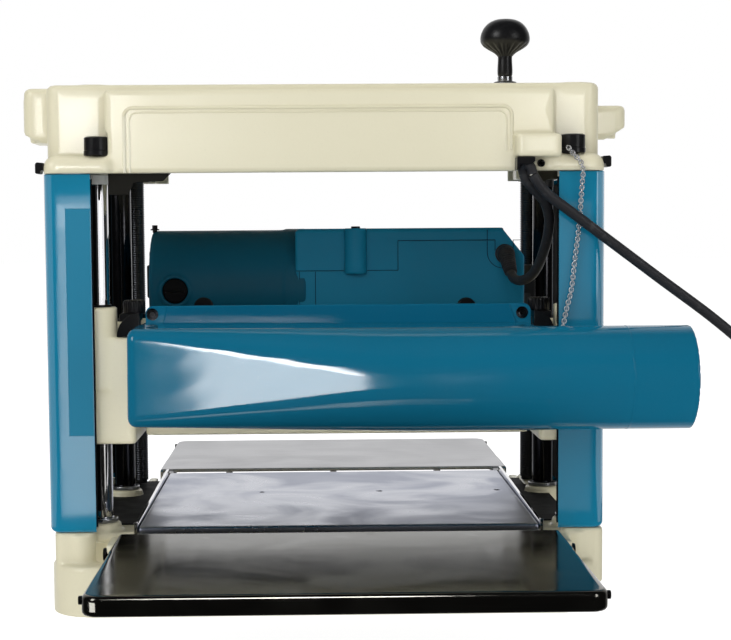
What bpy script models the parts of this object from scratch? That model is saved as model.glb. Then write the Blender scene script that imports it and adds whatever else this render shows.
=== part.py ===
"""Bench thickness planer: base and tables, four guide posts, a lifting cutter head and a hollow top casting.

The machine rests on z = 0, with the middle of its tables over the origin. +X is to the right of
somebody standing at the outfeed end, +Y runs from the outfeed end to the infeed end, +Z is up.
Every size below is in millimetres. The helpers turn millimetres into Blender's metres.
"""
import math

import bmesh
import bpy
from mathutils import Matrix, Vector

MM = 0.001
GAP = 0.3                     # clearance kept between neighbouring pieces
SIDES = 24                    # facets on an ordinary round piece

# tables
PLANING_HALF = 153.0
MAIN_HALF_LENGTH = 143.7
TABLE_TOP = 66.3
TABLE_HALF = 164.3
TABLE_INNER = 168.6
TABLE_OUTER = 385.5
TABLE_EDGE = 13.8
SHEET = 3.5
FOLD_Y = 165.0                # fold axis of an extension table, distance from the middle
FOLD_Z = 50.0
HINGE_ROD_R = 4.0

# base casting
BASE_LEFT = -214.0
BASE_RIGHT = 202.0
BASE_HALF_LENGTH = 146.0
BASE_DECK = 60.0
PAD_TOP = 62.7
BASE_WALL = 9.0

# columns
POST_R = 9.0
POST_X = {"left": -184.0, "right": 182.0}
POST_Y = {"near": -112.0, "far": 52.0}
POST_BOSS_R = {"near": 14.5, "far": 10.7}
SCREW_R = 7.0
SCREW_X = {"left": -176.0, "right": 176.0}
SCREW_Y = 108.0
COVER_FACE = 147.0
COVER_WALL = 2.6
COVER_OUTER = {"left": -219.5, "right": 202.0}
COVER_INNER = {"near": {"left": -181.0, "right": 166.7}, "far": {"left": -177.0, "right": 177.0}}
COVER_DEPTH = 85.0

# top casting
CAP_X = {"left": -181.0, "right": 177.7}
CAP_Y = -140.7
CAP_R = 9.5
LEDGE_TOP = 347.0
TOP_BOTTOM = 334.0
TOP_TOP = 401.0
TOP_LEFT = -219.0
TOP_RIGHT = 200.0
TOP_NEAR = -130.0
TOP_FAR = 150.0
TOP_SKIN = 8.0
BULGE_NEAR = -147.0

# cutter head, at a cutting height of 60 mm
SIDE_INNER = 155.0
SIDE_OUTER = {"left": -206.0, "right": 197.0}
SIDE_HALF_LENGTH = 125.0
HEAD_BOTTOM = 127.7
SIDE_TOP = 210.0
BOSS_TOP = 233.0
BRACKET_TOP = 228.0
DRUM_Z = 154.0
DRUM_R = 24.0
CUT_R = 28.0
ROLLER_R = 15.0
ROLLER_Y = 45.0
ROLLER_Z = 140.0
MOTOR_Y = 38.0
MOTOR_Z = 241.0
MOTOR_R = 50.0
BEARING_R = 16.0
JOURNAL_R = 10.0
DRUM_PULLEY_R = 14.0
MOTOR_PULLEY_R = 12.0
BELT_X = (159.0, 167.0)
BELT_CHAMBER_X = (158.4, 168.4)

# dust hood
HOOD_Y = -201.0
HOOD_Z = 183.0
HOOD_R = 37.5
HOOD_WALL = 3.0
HOOD_END = 254.0

# crank
CRANK_X = 144.0
CRANK_Y = 10.0
CRANK_BOTTOM = 401.6
CRANK_TOP = 413.6

# mains cord
CORD_R = 3.9
COIL_AT = (402.0, -40.0)
COIL_R = 44.0
COIL_ROWS = 3
PLUG_X = 430.0

FINISHES = {
    "cream_paint": ((0.72, 0.69, 0.55), 0.35, 0.0),
    "blue_plastic": ((0.01, 0.16, 0.26), 0.3, 0.0),
    "motor_blue": ((0.01, 0.08, 0.15), 0.45, 0.0),
    "steel": ((0.62, 0.65, 0.7), 0.3, 1.0),
    "chrome": ((0.8, 0.8, 0.82), 0.1, 1.0),
    "black_plastic": ((0.02, 0.02, 0.022), 0.4, 0.0),
    "rubber": ((0.03, 0.03, 0.032), 0.65, 0.0),
    "white_plastic": ((0.8, 0.8, 0.78), 0.4, 0.0),
}


# ---------------------------------------------------------------- helpers

def clear_scene():
    for obj in list(bpy.data.objects):
        bpy.data.objects.remove(obj, do_unlink=True)


def make_collection(name):
    collection = bpy.data.collections.new(name)
    bpy.context.scene.collection.children.link(collection)
    return collection


def finish_material(name):
    color, roughness, metallic = FINISHES[name]
    material = bpy.data.materials.new(name)
    material.use_nodes = True
    shader = material.node_tree.nodes["Principled BSDF"]
    shader.inputs["Base Color"].default_value = (*color, 1.0)
    shader.inputs["Roughness"].default_value = roughness
    shader.inputs["Metallic"].default_value = metallic
    return material


def vec(x, y, z):
    return Vector((x, y, z)) * MM


def to_object(name, bm, smooth=False):
    """Turn a bmesh into an object of the machine."""
    bmesh.ops.recalc_face_normals(bm, faces=bm.faces)
    mesh = bpy.data.meshes.new(name)
    bm.to_mesh(mesh)
    bm.free()
    if smooth:
        mesh.shade_smooth()
        mesh.set_sharp_from_angle(angle=math.radians(35))
    obj = bpy.data.objects.new(name, mesh)
    PARTS.objects.link(obj)
    return obj


def finished(obj, finish, origin=None):
    """Give a piece its own material, and put its origin on its joint's axis."""
    material = finish_material(finish)
    material.name = obj.name + "_" + finish
    obj.data.materials.clear()
    obj.data.materials.append(material)
    if origin is not None:
        point = vec(*origin)
        obj.data.transform(Matrix.Translation(obj.location - point))
        obj.location = point
    return obj


def box(name, x, y, z, bevel=0.0, upright=False, segments=2):
    """A block between the two values of x, y and z, with all or only its upright edges rounded."""
    bm = bmesh.new()
    bmesh.ops.create_cube(bm, size=1.0)
    size = Vector((x[1] - x[0], y[1] - y[0], z[1] - z[0])) * MM
    middle = vec((x[0] + x[1]) / 2, (y[0] + y[1]) / 2, (z[0] + z[1]) / 2)
    bmesh.ops.scale(bm, vec=size, verts=bm.verts)
    bmesh.ops.translate(bm, vec=middle, verts=bm.verts)
    if bevel:
        edges = [e for e in bm.edges if not upright or is_upright(e)]
        bmesh.ops.bevel(bm, geom=edges, offset=bevel * MM, segments=segments, affect="EDGES", profile=0.5)
    return to_object(name, bm)


def is_upright(edge):
    along = edge.verts[0].co - edge.verts[1].co
    return abs(along.z) > max(abs(along.x), abs(along.y))


def aligned(direction):
    return Vector((0, 0, 1)).rotation_difference(Vector(direction).normalized()).to_matrix().to_4x4()


def rod(name, start, direction, radius, length, end_radius=None, sides=SIDES):
    """A cylinder or cone that starts at a point and runs along a direction."""
    tip = radius if end_radius is None else end_radius
    bm = bmesh.new()
    place = Matrix.Translation(vec(*start)) @ aligned(direction) @ Matrix.Translation((0, 0, length * MM / 2))
    bmesh.ops.create_cone(bm, cap_ends=True, segments=sides, radius1=radius * MM, radius2=tip * MM,
                          depth=length * MM, matrix=place)
    return to_object(name, bm, smooth=True)


def turned(name, profile, at, direction=(0, 0, 1), sides=SIDES):
    """A turned piece: a Screw modifier on a profile of (radius, height), given from the top down."""
    mesh = bpy.data.meshes.new(name)
    points = [(r * MM, 0.0, h * MM) for r, h in profile]
    mesh.from_pydata(points, [(i, i + 1) for i in range(len(points) - 1)], [])
    obj = bpy.data.objects.new(name, mesh)
    PARTS.objects.link(obj)
    obj.matrix_world = Matrix.Translation(vec(*at)) @ aligned(direction)
    screw = obj.modifiers.new("turn", "SCREW")
    screw.steps = sides
    screw.render_steps = sides
    screw.use_merge_vertices = True
    screw.merge_threshold = 0.00001
    screw.use_smooth_shade = True
    return obj


def hull_outline(first, first_r, second, second_r, points=13):
    """The outline round two circles, as a belt lies round two pulleys."""
    between = Vector(second) - Vector(first)
    heading = math.atan2(between.y, between.x)
    lean = math.acos((first_r - second_r) / between.length)
    outline = []
    for centre, radius, begin, end in (
            (first, first_r, heading + lean, heading + 2 * math.pi - lean),
            (second, second_r, heading - lean, heading + lean)):
        for i in range(points):
            angle = begin + (end - begin) * i / (points - 1)
            outline.append((centre[0] + radius * math.cos(angle), centre[1] + radius * math.sin(angle)))
    return outline


def prism(name, outline, axis, low, high):
    """An outline swept along X, Y or Z. The outline is in YZ, XZ or XY."""
    place = {
        "X": lambda a, b, c: vec(c, a, b),
        "Y": lambda a, b, c: vec(a, c, b),
        "Z": lambda a, b, c: vec(a, b, c),
    }[axis]
    bm = bmesh.new()
    face = bm.faces.new([bm.verts.new(place(a, b, low)) for a, b in outline])
    swept = bmesh.ops.extrude_face_region(bm, geom=[face])
    moved = [v for v in swept["geom"] if isinstance(v, bmesh.types.BMVert)]
    bmesh.ops.translate(bm, vec=place(0, 0, high - low), verts=moved)
    return to_object(name, bm, smooth=True)


def bent_sheet(name, path, z, thickness, bevel=0.0):
    """A sheet that stands on a path in XY, thickened to both sides."""
    bm = bmesh.new()
    verts = [bm.verts.new(vec(x, y, z[0])) for x, y in path]
    edges = [bm.edges.new((verts[i], verts[i + 1])) for i in range(len(verts) - 1)]
    raised = bmesh.ops.extrude_edge_only(bm, edges=edges)
    moved = [v for v in raised["geom"] if isinstance(v, bmesh.types.BMVert)]
    bmesh.ops.translate(bm, vec=vec(0, 0, z[1] - z[0]), verts=moved)
    obj = to_object(name, bm, smooth=True)
    wall = obj.modifiers.new("wall", "SOLIDIFY")
    wall.thickness = thickness * MM
    wall.offset = 0.0
    return obj


def round_corner(corner, from_point, to_point, radius, steps=5):
    """Points of an arc that rounds a square corner between two runs along X and Y."""
    to_start = (Vector(from_point) - Vector(corner)).normalized() * radius
    to_end = (Vector(to_point) - Vector(corner)).normalized() * radius
    centre = Vector(corner) + to_start + to_end
    points = []
    for i in range(steps + 1):
        angle = math.pi / 2 * i / steps
        points.append(tuple(centre - to_end * math.cos(angle) - to_start * math.sin(angle)))
    return points


def smooth_route(points, count):
    """Evenly spaced points on a smooth curve through the given ones."""
    knots = [Vector(p) for p in points]
    ends = [2 * knots[0] - knots[1]] + knots + [2 * knots[-1] - knots[-2]]
    dense = []
    for i in range(1, len(ends) - 2):
        p0, p1, p2, p3 = ends[i - 1:i + 3]
        for step in range(24):
            t = step / 24
            dense.append(0.5 * (2 * p1 + (p2 - p0) * t + (2 * p0 - 5 * p1 + 4 * p2 - p3) * t * t
                                + (3 * p1 - p0 - 3 * p2 + p3) * t ** 3))
    dense.append(knots[-1])
    lengths = [0.0]
    for a, b in zip(dense, dense[1:]):
        lengths.append(lengths[-1] + (b - a).length)
    route = []
    j = 0
    for i in range(count):
        want = lengths[-1] * i / (count - 1)
        while j < len(lengths) - 2 and lengths[j + 1] < want:
            j += 1
        share = (want - lengths[j]) / max(lengths[j + 1] - lengths[j], 1e-9)
        route.append(dense[j].lerp(dense[j + 1], share))
    return route


def tube(name, points, radius, count):
    """A round wire through some points, as a curve with filled ends."""
    curve = bpy.data.curves.new(name, "CURVE")
    curve.dimensions = "3D"
    curve.bevel_depth = radius * MM
    curve.bevel_resolution = 2
    curve.use_fill_caps = True
    route = smooth_route(points, count)
    spline = curve.splines.new("POLY")
    spline.points.add(len(route) - 1)
    for point, at in zip(spline.points, route):
        point.co = (*(at * MM), 1.0)
    obj = bpy.data.objects.new(name, curve)
    PARTS.objects.link(obj)
    return obj


def operate(obj, operation, *others):
    """Cut the others out of a piece, or join them to it. The others become hidden guides."""
    for other in others:
        PARTS.objects.unlink(other)
        CUTTERS.objects.link(other)
        other.hide_render = True
        other.display_type = "WIRE"
        step = obj.modifiers.new(other.name, "BOOLEAN")
        step.operation = operation
        step.solver = "EXACT"
        step.object = other
    return obj


def cut(obj, *others):
    return operate(obj, "DIFFERENCE", *others)


def join(obj, *others):
    return operate(obj, "UNION", *others)


# ---------------------------------------------------------------- base and tables

def base_casting():
    base = box("base_casting", (BASE_LEFT, BASE_RIGHT), (-BASE_HALF_LENGTH, BASE_HALF_LENGTH),
               (0, BASE_DECK), bevel=14, upright=True, segments=3)
    for side, x in SCREW_X.items():
        outer = BASE_LEFT + 4 if side == "left" else BASE_RIGHT - 4
        for end in (-1, 1):
            pad_y = sorted((end * 88, end * (BASE_HALF_LENGTH - 3)))
            join(base, box(f"pad_{side}_{end}", sorted((outer, math.copysign(166, x))), pad_y,
                           (BASE_DECK - 5, PAD_TOP), bevel=6, upright=True))
    for side, x in POST_X.items():
        for end, y in POST_Y.items():
            join(base, rod(f"post_boss_{side}_{end}", (x, y, BASE_DECK - 5), (0, 0, 1), 15, 11))
    for side in (-1, 1):
        for end in (-1, 1):
            lug_x = sorted((side * 166, side * 174))
            lug_y = sorted((end * (BASE_HALF_LENGTH - 8), end * (FOLD_Y + 6)))
            join(base, box(f"lug_{side}_{end}", lug_x, lug_y, (42, 58)))
            cut(base, rod(f"lug_bore_{side}_{end}", (side * 160, end * FOLD_Y, FOLD_Z), (side, 0, 0),
                          HINGE_ROD_R + GAP, 20))
    for x in ((BASE_LEFT + BASE_WALL, -BASE_WALL / 2), (BASE_WALL / 2, BASE_RIGHT - BASE_WALL)):
        for y in ((-BASE_HALF_LENGTH + BASE_WALL, -BASE_WALL / 2), (BASE_WALL / 2, BASE_HALF_LENGTH - BASE_WALL)):
            cut(base, box(f"pocket_{x[0]:.0f}_{y[0]:.0f}", x, y, (-10, BASE_DECK - 8)))
    return finished(base, "cream_paint")


def main_table():
    plate = box("main_table", (-PLANING_HALF, PLANING_HALF), (-MAIN_HALF_LENGTH, MAIN_HALF_LENGTH),
                (BASE_DECK + GAP, TABLE_TOP))
    finished(plate, "steel")
    for side, name in ((-1, "left"), (1, "right")):
        guide = box(f"table_guide_{name}", sorted((side * (PLANING_HALF + GAP), side * (PLANING_HALF + 2.8))),
                    (-MAIN_HALF_LENGTH - 1.3, MAIN_HALF_LENGTH + 1.3), (BASE_DECK + GAP, TABLE_TOP + 4))
        finished(guide, "chrome")


def extension_table(name, end):
    """A folding sheet tray with two hinge arms, open underneath and towards the machine."""
    tray = box(name, (-TABLE_HALF, TABLE_HALF), sorted((end * TABLE_INNER, end * TABLE_OUTER)),
               (TABLE_TOP - TABLE_EDGE, TABLE_TOP), bevel=8, upright=True)
    cut(tray, box(f"{name}_underside", (-TABLE_HALF + 2.5, TABLE_HALF - 2.5),
                  sorted((end * (TABLE_INNER - 5), end * (TABLE_OUTER - 2.5))),
                  (TABLE_TOP - TABLE_EDGE - 5, TABLE_TOP - SHEET)))
    for side in (-1, 1):
        arm = box(f"{name}_arm_{side}", sorted((side * 150, side * 158)),
                  sorted((end * (FOLD_Y - 6.5), end * (FOLD_Y + 25))), (FOLD_Z - 8, TABLE_TOP - SHEET + 1))
        join(tray, arm)
        cut(tray, rod(f"{name}_arm_bore_{side}", (side * 145, end * FOLD_Y, FOLD_Z), (side, 0, 0),
                      HINGE_ROD_R + GAP, 20))
    return finished(tray, "steel", origin=(0, end * FOLD_Y, FOLD_Z))


def hinge_rods():
    for name, end in (("outfeed", -1), ("infeed", 1)):
        finished(rod(f"hinge_rod_{name}", (-176, end * FOLD_Y, FOLD_Z), (1, 0, 0), HINGE_ROD_R, 352, sides=16),
                 "steel")


# ---------------------------------------------------------------- columns

def guide_posts():
    for end, y in POST_Y.items():
        for side, x in POST_X.items():
            finished(rod(f"guide_post_{end}_{side}", (x, y, 66 + GAP), (0, 0, 1), POST_R, 313), "chrome")


def column_covers():
    """Four bent covers. Each wraps the outer corner of its column."""
    half = COVER_WALL / 2
    for end, sign in (("near", -1), ("far", 1)):
        for side, outer in COVER_OUTER.items():
            inward = 1 if side == "left" else -1
            corner = (outer + inward * half, sign * (COVER_FACE - half))
            inner_end = (COVER_INNER[end][side], corner[1])
            back_end = (corner[0], corner[1] - sign * COVER_DEPTH)
            path = [inner_end, *round_corner(corner, inner_end, back_end, 9), back_end]
            sheet = bent_sheet(f"column_cover_{end}_{side}", path, (PAD_TOP + GAP, TOP_BOTTOM - GAP), COVER_WALL)
            finished(sheet, "blue_plastic")


def lead_screw(side, top):
    """A lifting screw with its chain wheel."""
    profile = [(0, top), (SCREW_R, top), (SCREW_R, 356), (15, 356), (15, 352), (SCREW_R, 352),
               (SCREW_R, PAD_TOP + GAP), (0, PAD_TOP + GAP)]
    return finished(turned(f"lead_screw_{side}", profile, (SCREW_X[side], SCREW_Y, 0)), "steel")


def lift_chain():
    """The roller chain that turns both lifting screws together, as one closed band."""
    left = (SCREW_X["left"], SCREW_Y)
    right = (SCREW_X["right"], SCREW_Y)
    band = prism("lift_chain", hull_outline(left, 18.4, right, 18.4), "Z", 350, 358)
    cut(band, prism("lift_chain_inside", hull_outline(left, 15.4, right, 15.4), "Z", 345, 363))
    return finished(band, "steel")


# ---------------------------------------------------------------- top casting

def top_frame():
    """The hollow top casting, open below, with a raised front, two ledges and two carrying grips."""
    top = box("top_frame", (TOP_LEFT, TOP_RIGHT), (TOP_NEAR, TOP_FAR), (TOP_BOTTOM, TOP_TOP), bevel=9, upright=True)
    join(top,
         box("front_bulge", (-176, 163), (BULGE_NEAR, TOP_NEAR + 10), (TOP_BOTTOM, TOP_TOP), bevel=5, upright=True),
         box("ledge_left", (TOP_LEFT, -165), (-151, TOP_NEAR + 12), (TOP_BOTTOM, LEDGE_TOP), bevel=3, upright=True),
         box("ledge_right", (148, TOP_RIGHT), (-151, TOP_NEAR + 12), (TOP_BOTTOM, LEDGE_TOP), bevel=3, upright=True),
         box("cord_pad", (133, 167), (-162, BULGE_NEAR + 5), (344, 361)),
         box("grip_left", (-247, TOP_LEFT + 5), (-66, 66), (359, 399), bevel=5),
         box("grip_right", (TOP_RIGHT - 5, 232), (-66, 66), (362, 388), bevel=5))
    ceiling = TOP_TOP - TOP_SKIN
    cut(top,
        box("motor_space", (-160, 160), (-120, 140), (TOP_BOTTOM - 5, ceiling)),
        box("chain_space", (SCREW_X["left"], SCREW_X["right"]), (89, 127), (TOP_BOTTOM - 5, 370)),
        box("belt_cover_space", (150, 171.6), (-25, 62), (TOP_BOTTOM - 5, ceiling)),
        box("thumb_screw_space", (-171, 170), (-131, -95), (TOP_BOTTOM - 5, 345)),
        box("infeed_arch", (-150, 150), (130, 160), (TOP_BOTTOM - 5, 346)),
        box("grip_space_left", (-241, -223), (-58, 58), (350, 392)),
        box("grip_space_right", (206, 226), (-58, 58), (355, 381)))
    for side, x in POST_X.items():
        for end, y in POST_Y.items():
            cut(top, rod(f"post_socket_{side}_{end}", (x, y, TOP_BOTTOM - 5), (0, 0, 1), POST_R + GAP, 52))
    for side, x in SCREW_X.items():
        cut(top, rod(f"chain_wheel_space_{side}", (x, SCREW_Y, TOP_BOTTOM - 5), (0, 0, 1), 20, 61))
    for side, x in CAP_X.items():
        cut(top, rod(f"cap_recess_{side}", (x, CAP_Y, LEDGE_TOP), (0, 0, 1), CAP_R + 2 * GAP, 17))
    cut(top, rod("crank_bore", (SCREW_X["right"], SCREW_Y, 380), (0, 0, 1), SCREW_R + 2 * GAP, 30))
    return finished(top, "cream_paint")


def top_trim():
    cap = [(0, 14), (CAP_R - 1.2, 14), (CAP_R, 12.8), (CAP_R, 0), (0, 0)]
    for side, x in CAP_X.items():
        finished(turned(f"ledge_cap_{side}", cap, (x, CAP_Y, LEDGE_TOP + GAP)), "black_plastic")
    finished(box("side_hook_left", (-228, TOP_LEFT - GAP), (-142, -128), (334, 342.6), bevel=1.5), "black_plastic")
    finished(box("side_hook_right", (TOP_RIGHT + GAP, 208.7), (-142, -128), (336.6, 345.6), bevel=1.5),
             "black_plastic")
    finished(box("cord_clip", (133, 147), (-162, BULGE_NEAR - GAP), (333.2, 344 - GAP), bevel=1.5), "black_plastic")


def switch():
    finished(box("switch_box", (-110, -50), (TOP_FAR + GAP, 172), (352, 396), bevel=3), "black_plastic")
    finished(box("switch_rocker", (-98, -62), (175, 181), (362, 386), bevel=1.5), "black_plastic",
             origin=(-80, 178, 374))


def height_gauge():
    finished(box("height_scale", (-187, -179), (COVER_FACE + GAP, COVER_FACE + 1.2), (95, 330)), "white_plastic")
    finished(box("scale_pointer", (-174, -166), (SIDE_HALF_LENGTH + GAP, COVER_FACE + 2.5), (168, 172)),
             "black_plastic")


# ---------------------------------------------------------------- crank

def crank():
    hub = (SCREW_X["right"], SCREW_Y)
    arm = prism("crank_arm", hull_outline(hub, 14, (CRANK_X, CRANK_Y), 10), "Z", CRANK_BOTTOM, CRANK_TOP)
    join(arm, rod("crank_spindle", (CRANK_X, CRANK_Y, CRANK_TOP - 2), (0, 0, 1), 6.3, 6.4))
    finished(arm, "steel", origin=(*hub, CRANK_BOTTOM))
    knob = [(0, 47), (9, 45.6), (15.5, 41), (19.4, 34), (20.6, 27), (19.5, 23.5), (12, 18.5), (5.9, 16), (5.9, 0),
            (0, 0)]
    finished(turned("crank_knob", knob, (CRANK_X, CRANK_Y, CRANK_TOP + 4.4 + GAP)), "black_plastic")


# ---------------------------------------------------------------- cutter head

def belt_path(name, drum_r, motor_r, x, low, high):
    """A prism round the drum's pulley and the motor's pulley."""
    return prism(name, hull_outline((0, DRUM_Z), drum_r, (MOTOR_Y, MOTOR_Z), motor_r), x, low, high)


def carriage(side):
    """One side casting of the head, which slides on two posts and carries the nut of its screw."""
    sign = -1 if side == "left" else 1
    x = POST_X[side]
    block = box(f"carriage_{side}", sorted((sign * SIDE_INNER, SIDE_OUTER[side])),
                (-SIDE_HALF_LENGTH, SIDE_HALF_LENGTH), (HEAD_BOTTOM, SIDE_TOP), bevel=3)
    for end, y in POST_Y.items():
        join(block, rod(f"carriage_boss_{side}_{end}", (x, y, SIDE_TOP - 12), (0, 0, 1), POST_BOSS_R[end],
                        BOSS_TOP - SIDE_TOP + 12))
        cut(block, rod(f"carriage_post_bore_{side}_{end}", (x, y, 100), (0, 0, 1), POST_R + GAP, 150))
    join(block, rod(f"nut_boss_{side}", (SCREW_X[side], SCREW_Y, SIDE_TOP - 12), (0, 0, 1), 13, 26))
    cut(block, rod(f"nut_bore_{side}", (SCREW_X[side], SCREW_Y, 100), (0, 0, 1), SCREW_R + GAP, 150))
    for y in (-ROLLER_Y, ROLLER_Y):
        cut(block, rod(f"roller_bore_{side}_{y:.0f}", (sign * (SIDE_INNER - 5), y, ROLLER_Z), (sign, 0, 0), 6.3, 13))
    if side == "left":
        cut(block, rod("bearing_seat_left", (-SIDE_INNER + 5, 0, DRUM_Z), (-1, 0, 0), BEARING_R + GAP, 18))
    else:
        cut(block,
            rod("bearing_seat_right", (SIDE_INNER - 5, 0, DRUM_Z), (1, 0, 0), BEARING_R + GAP, 28),
            belt_path("belt_chamber", DRUM_PULLEY_R + 4, MOTOR_PULLEY_R + 4, "X", *BELT_CHAMBER_X))
    return finished(block, "cream_paint")


def bearings():
    ring = [(JOURNAL_R + GAP, 8), (BEARING_R, 8), (BEARING_R, 0), (JOURNAL_R + GAP, 0), (JOURNAL_R + GAP, 8)]
    for side, x in (("left", -165.6), ("right", 168.7)):
        finished(turned(f"bearing_{side}", ring, (x, 0, DRUM_Z), (1, 0, 0)), "steel")


def head_bridge():
    """The casting over the drum and rollers, open below, with a slot where the chips leave."""
    half = SIDE_INNER - GAP
    bridge = box("head_bridge", (-half, half), (-80, 80), (135, 190), bevel=2)
    cut(bridge,
        box("cutter_space", (-half - 5, half + 5), (-72, 72), (130, 184)),
        box("chip_slot", (-140, 140), (-90, -60), (152, 180)))
    return finished(bridge, "cream_paint")


def motor():
    can = rod("motor_can", (-SIDE_INNER, MOTOR_Y, MOTOR_Z), (1, 0, 0), MOTOR_R, 125, sides=32)
    cut(can,
        rod("motor_can_inside", (-SIDE_INNER + 5, MOTOR_Y, MOTOR_Z), (1, 0, 0), MOTOR_R - 4, 130, sides=32),
        rod("brush_bore", (-135, MOTOR_Y - MOTOR_R - 10, MOTOR_Z), (0, 1, 0), 9.3, 30))
    finished(can, "motor_blue")
    finished(rod("brush_cap", (-135, MOTOR_Y - MOTOR_R - 0.5, MOTOR_Z), (0, 1, 0), 9, 11), "black_plastic")

    outer = [(-29.7, 191), (154.4, 191), (154.4, 211), (158, 211), (158, 268), (140, 290.5), (-29.7, 290.5)]
    inner = [(-40, 195), (150.4, 195), (150.4, 215), (154, 215), (154, 266), (138, 286.5), (-40, 286.5)]
    case = prism("gear_case", outer, "Y", -12, 86)
    cut(case,
        prism("gear_case_inside", inner, "Y", -8, 82),
        rod("shaft_bore", (150, MOTOR_Y, MOTOR_Z), (1, 0, 0), 8.6, 20))
    finished(case, "motor_blue")

    cover = belt_path("belt_cover", DRUM_PULLEY_R + 6.5, MOTOR_PULLEY_R + 7, "X", BELT_CHAMBER_X[0] + 0.2, 171)
    cut(cover,
        box("belt_cover_foot", (150, 180), (-60, 80), (100, SIDE_TOP + GAP)),
        belt_path("belt_cover_inside", DRUM_PULLEY_R + 4, MOTOR_PULLEY_R + 4, "X", 150, BELT_CHAMBER_X[1]))
    finished(cover, "black_plastic")


def armature():
    shaft = [(0, 322.5), (MOTOR_PULLEY_R, 322.5), (MOTOR_PULLEY_R, 314), (8, 314), (8, 155), (36, 155), (36, 135),
             (8, 135), (8, 110), (30, 110), (30, 43), (16, 37), (16, 15), (8, 15), (8, 7), (0, 7)]
    finished(turned("motor_armature", shaft, (-SIDE_INNER, MOTOR_Y, MOTOR_Z), (1, 0, 0)), "steel")


def drive_belt():
    belt = belt_path("drive_belt", DRUM_PULLEY_R + GAP + 2, MOTOR_PULLEY_R + GAP + 2, "X", *BELT_X)
    cut(belt, belt_path("drive_belt_inside", DRUM_PULLEY_R + GAP, MOTOR_PULLEY_R + GAP, "X", 150, 176))
    return finished(belt, "rubber")


def cutterhead():
    """The drum with its pulley, and two knives held in slots along it."""
    profile = [(0, 343), (JOURNAL_R, 343), (JOURNAL_R, 333), (DRUM_PULLEY_R, 333), (DRUM_PULLEY_R, 325.5),
               (JOURNAL_R, 325.5), (JOURNAL_R, 318), (DRUM_R, 318), (DRUM_R, 14), (JOURNAL_R, 14), (JOURNAL_R, 0),
               (0, 0)]
    drum = turned("cutter_drum", profile, (-166, 0, DRUM_Z), (1, 0, 0), sides=32)
    for number, end in ((1, -1), (2, 1)):
        slot = sorted((end * 12, end * (DRUM_R + 5)))
        cut(drum, box(f"knife_slot_{number}", (-160, 153.5), slot, (DRUM_Z - 1.8, DRUM_Z + 1.8)))
        blade = sorted((end * 12.3, end * CUT_R))
        finished(box(f"knife_{number}", (-PLANING_HALF, PLANING_HALF), blade, (DRUM_Z - 1.5, DRUM_Z + 1.5)),
                 "chrome", origin=(0, 0, DRUM_Z))
    return finished(drum, "steel")


def feed_rollers():
    profile = [(0, 320), (6, 320), (6, 310), (ROLLER_R, 310), (ROLLER_R, 10), (6, 10), (6, 0), (0, 0)]
    for name, y in (("outfeed", -ROLLER_Y), ("infeed", ROLLER_Y)):
        finished(turned(f"feed_roller_{name}", profile, (-160, y, ROLLER_Z), (1, 0, 0)), "rubber")


# ---------------------------------------------------------------- hood

def hood():
    """The dust hood: a wide mouth over the drum that runs sideways into a round outlet."""
    body = box("hood", (-150, 148), (-234, -80 - GAP), (144, 222), bevel=6, segments=2)
    join(body,
         rod("hood_outlet", (120, HOOD_Y, HOOD_Z), (1, 0, 0), HOOD_R, HOOD_END - 120, sides=32),
         box("hood_flange", (-146, 148), (-129, -125), (212, 234), bevel=1.5))
    cut(body,
        box("hood_mouth", (-146.5, 144.5), (-230.5, -60), (147.5, 218)),
        rod("hood_bore", (132, HOOD_Y, HOOD_Z), (1, 0, 0), HOOD_R - HOOD_WALL, HOOD_END, sides=32))
    return finished(body, "blue_plastic")


def hood_fasteners():
    for name, x, knob_x in (("left", (-168.4, -150.6), -156), ("right", (150.6, 166.6), 155.5)):
        finished(box(f"hood_bracket_{name}", x, (-128, -104), (SIDE_TOP + GAP, BRACKET_TOP), bevel=2), "black_plastic")
        knob = [(0, 10), (7, 10), (8.5, 8.5), (8.5, 0), (0, 0)]
        finished(turned(f"thumb_screw_{name}", knob, (knob_x, -115, BRACKET_TOP + GAP)), "black_plastic")


# ---------------------------------------------------------------- cord and chain

LOOP_ROUTE = [(143.5, -37.5, 254.6), (145, -43.5, 250.6), (148.6, -54, 248.9), (153.6, -66, 251.2),
              (158.2, -78, 257.8), (162, -93, 271), (163.6, -110, 286.5), (162.2, -125, 300),
              (156.5, -138, 311.5), (147, -148.2, 320.7), (141, -151.3, 327.5), (139.4, -151.6, 331.4)]
CORD_ROUTE = [(145.6, -157.8, 330.4), (150.5, -157.2, 323), (158, -156.6, 315), (170, -156.6, 306),
              (188, -156.6, 292.5), (212, -156.6, 274.5), (242, -156.6, 252), (281, -156.6, 223),
              (310, -155, 198), (338, -152, 167), (358, -148, 130), (371, -144, 88), (381, -139.5, 49),
              (393, -131, 20), (408, -117, 6.6), (424, -101, 4.2), (440.5, -85.9, 4.2)]
CHAIN_ROUTE = [(173, -151.8, 350.5), (177, -153.6, 345), (181.6, -154.2, 340), (183.4, -153.8, 333),
               (183, -151.4, 322), (182, -150, 305), (180.6, -149.6, 288), (178, -149.6, 267),
               (175.5, -149.6, 245), (171.5, -149.6, 228), (168, -149.6, 208), (167, -149.6, 195)]


def cord_boot():
    """The rubber strain relief where the cord leaves the motor."""
    boot = rod("cord_boot", (141.5, -12 - GAP, 270), (0, -1, 0), 9, 10)
    join(boot, rod("cord_boot_taper", (141.6, -17.5, 271.4), (1.8, -18.6, -15.6), 8.5, 25, end_radius=5.2))
    return finished(boot, "rubber")


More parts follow.
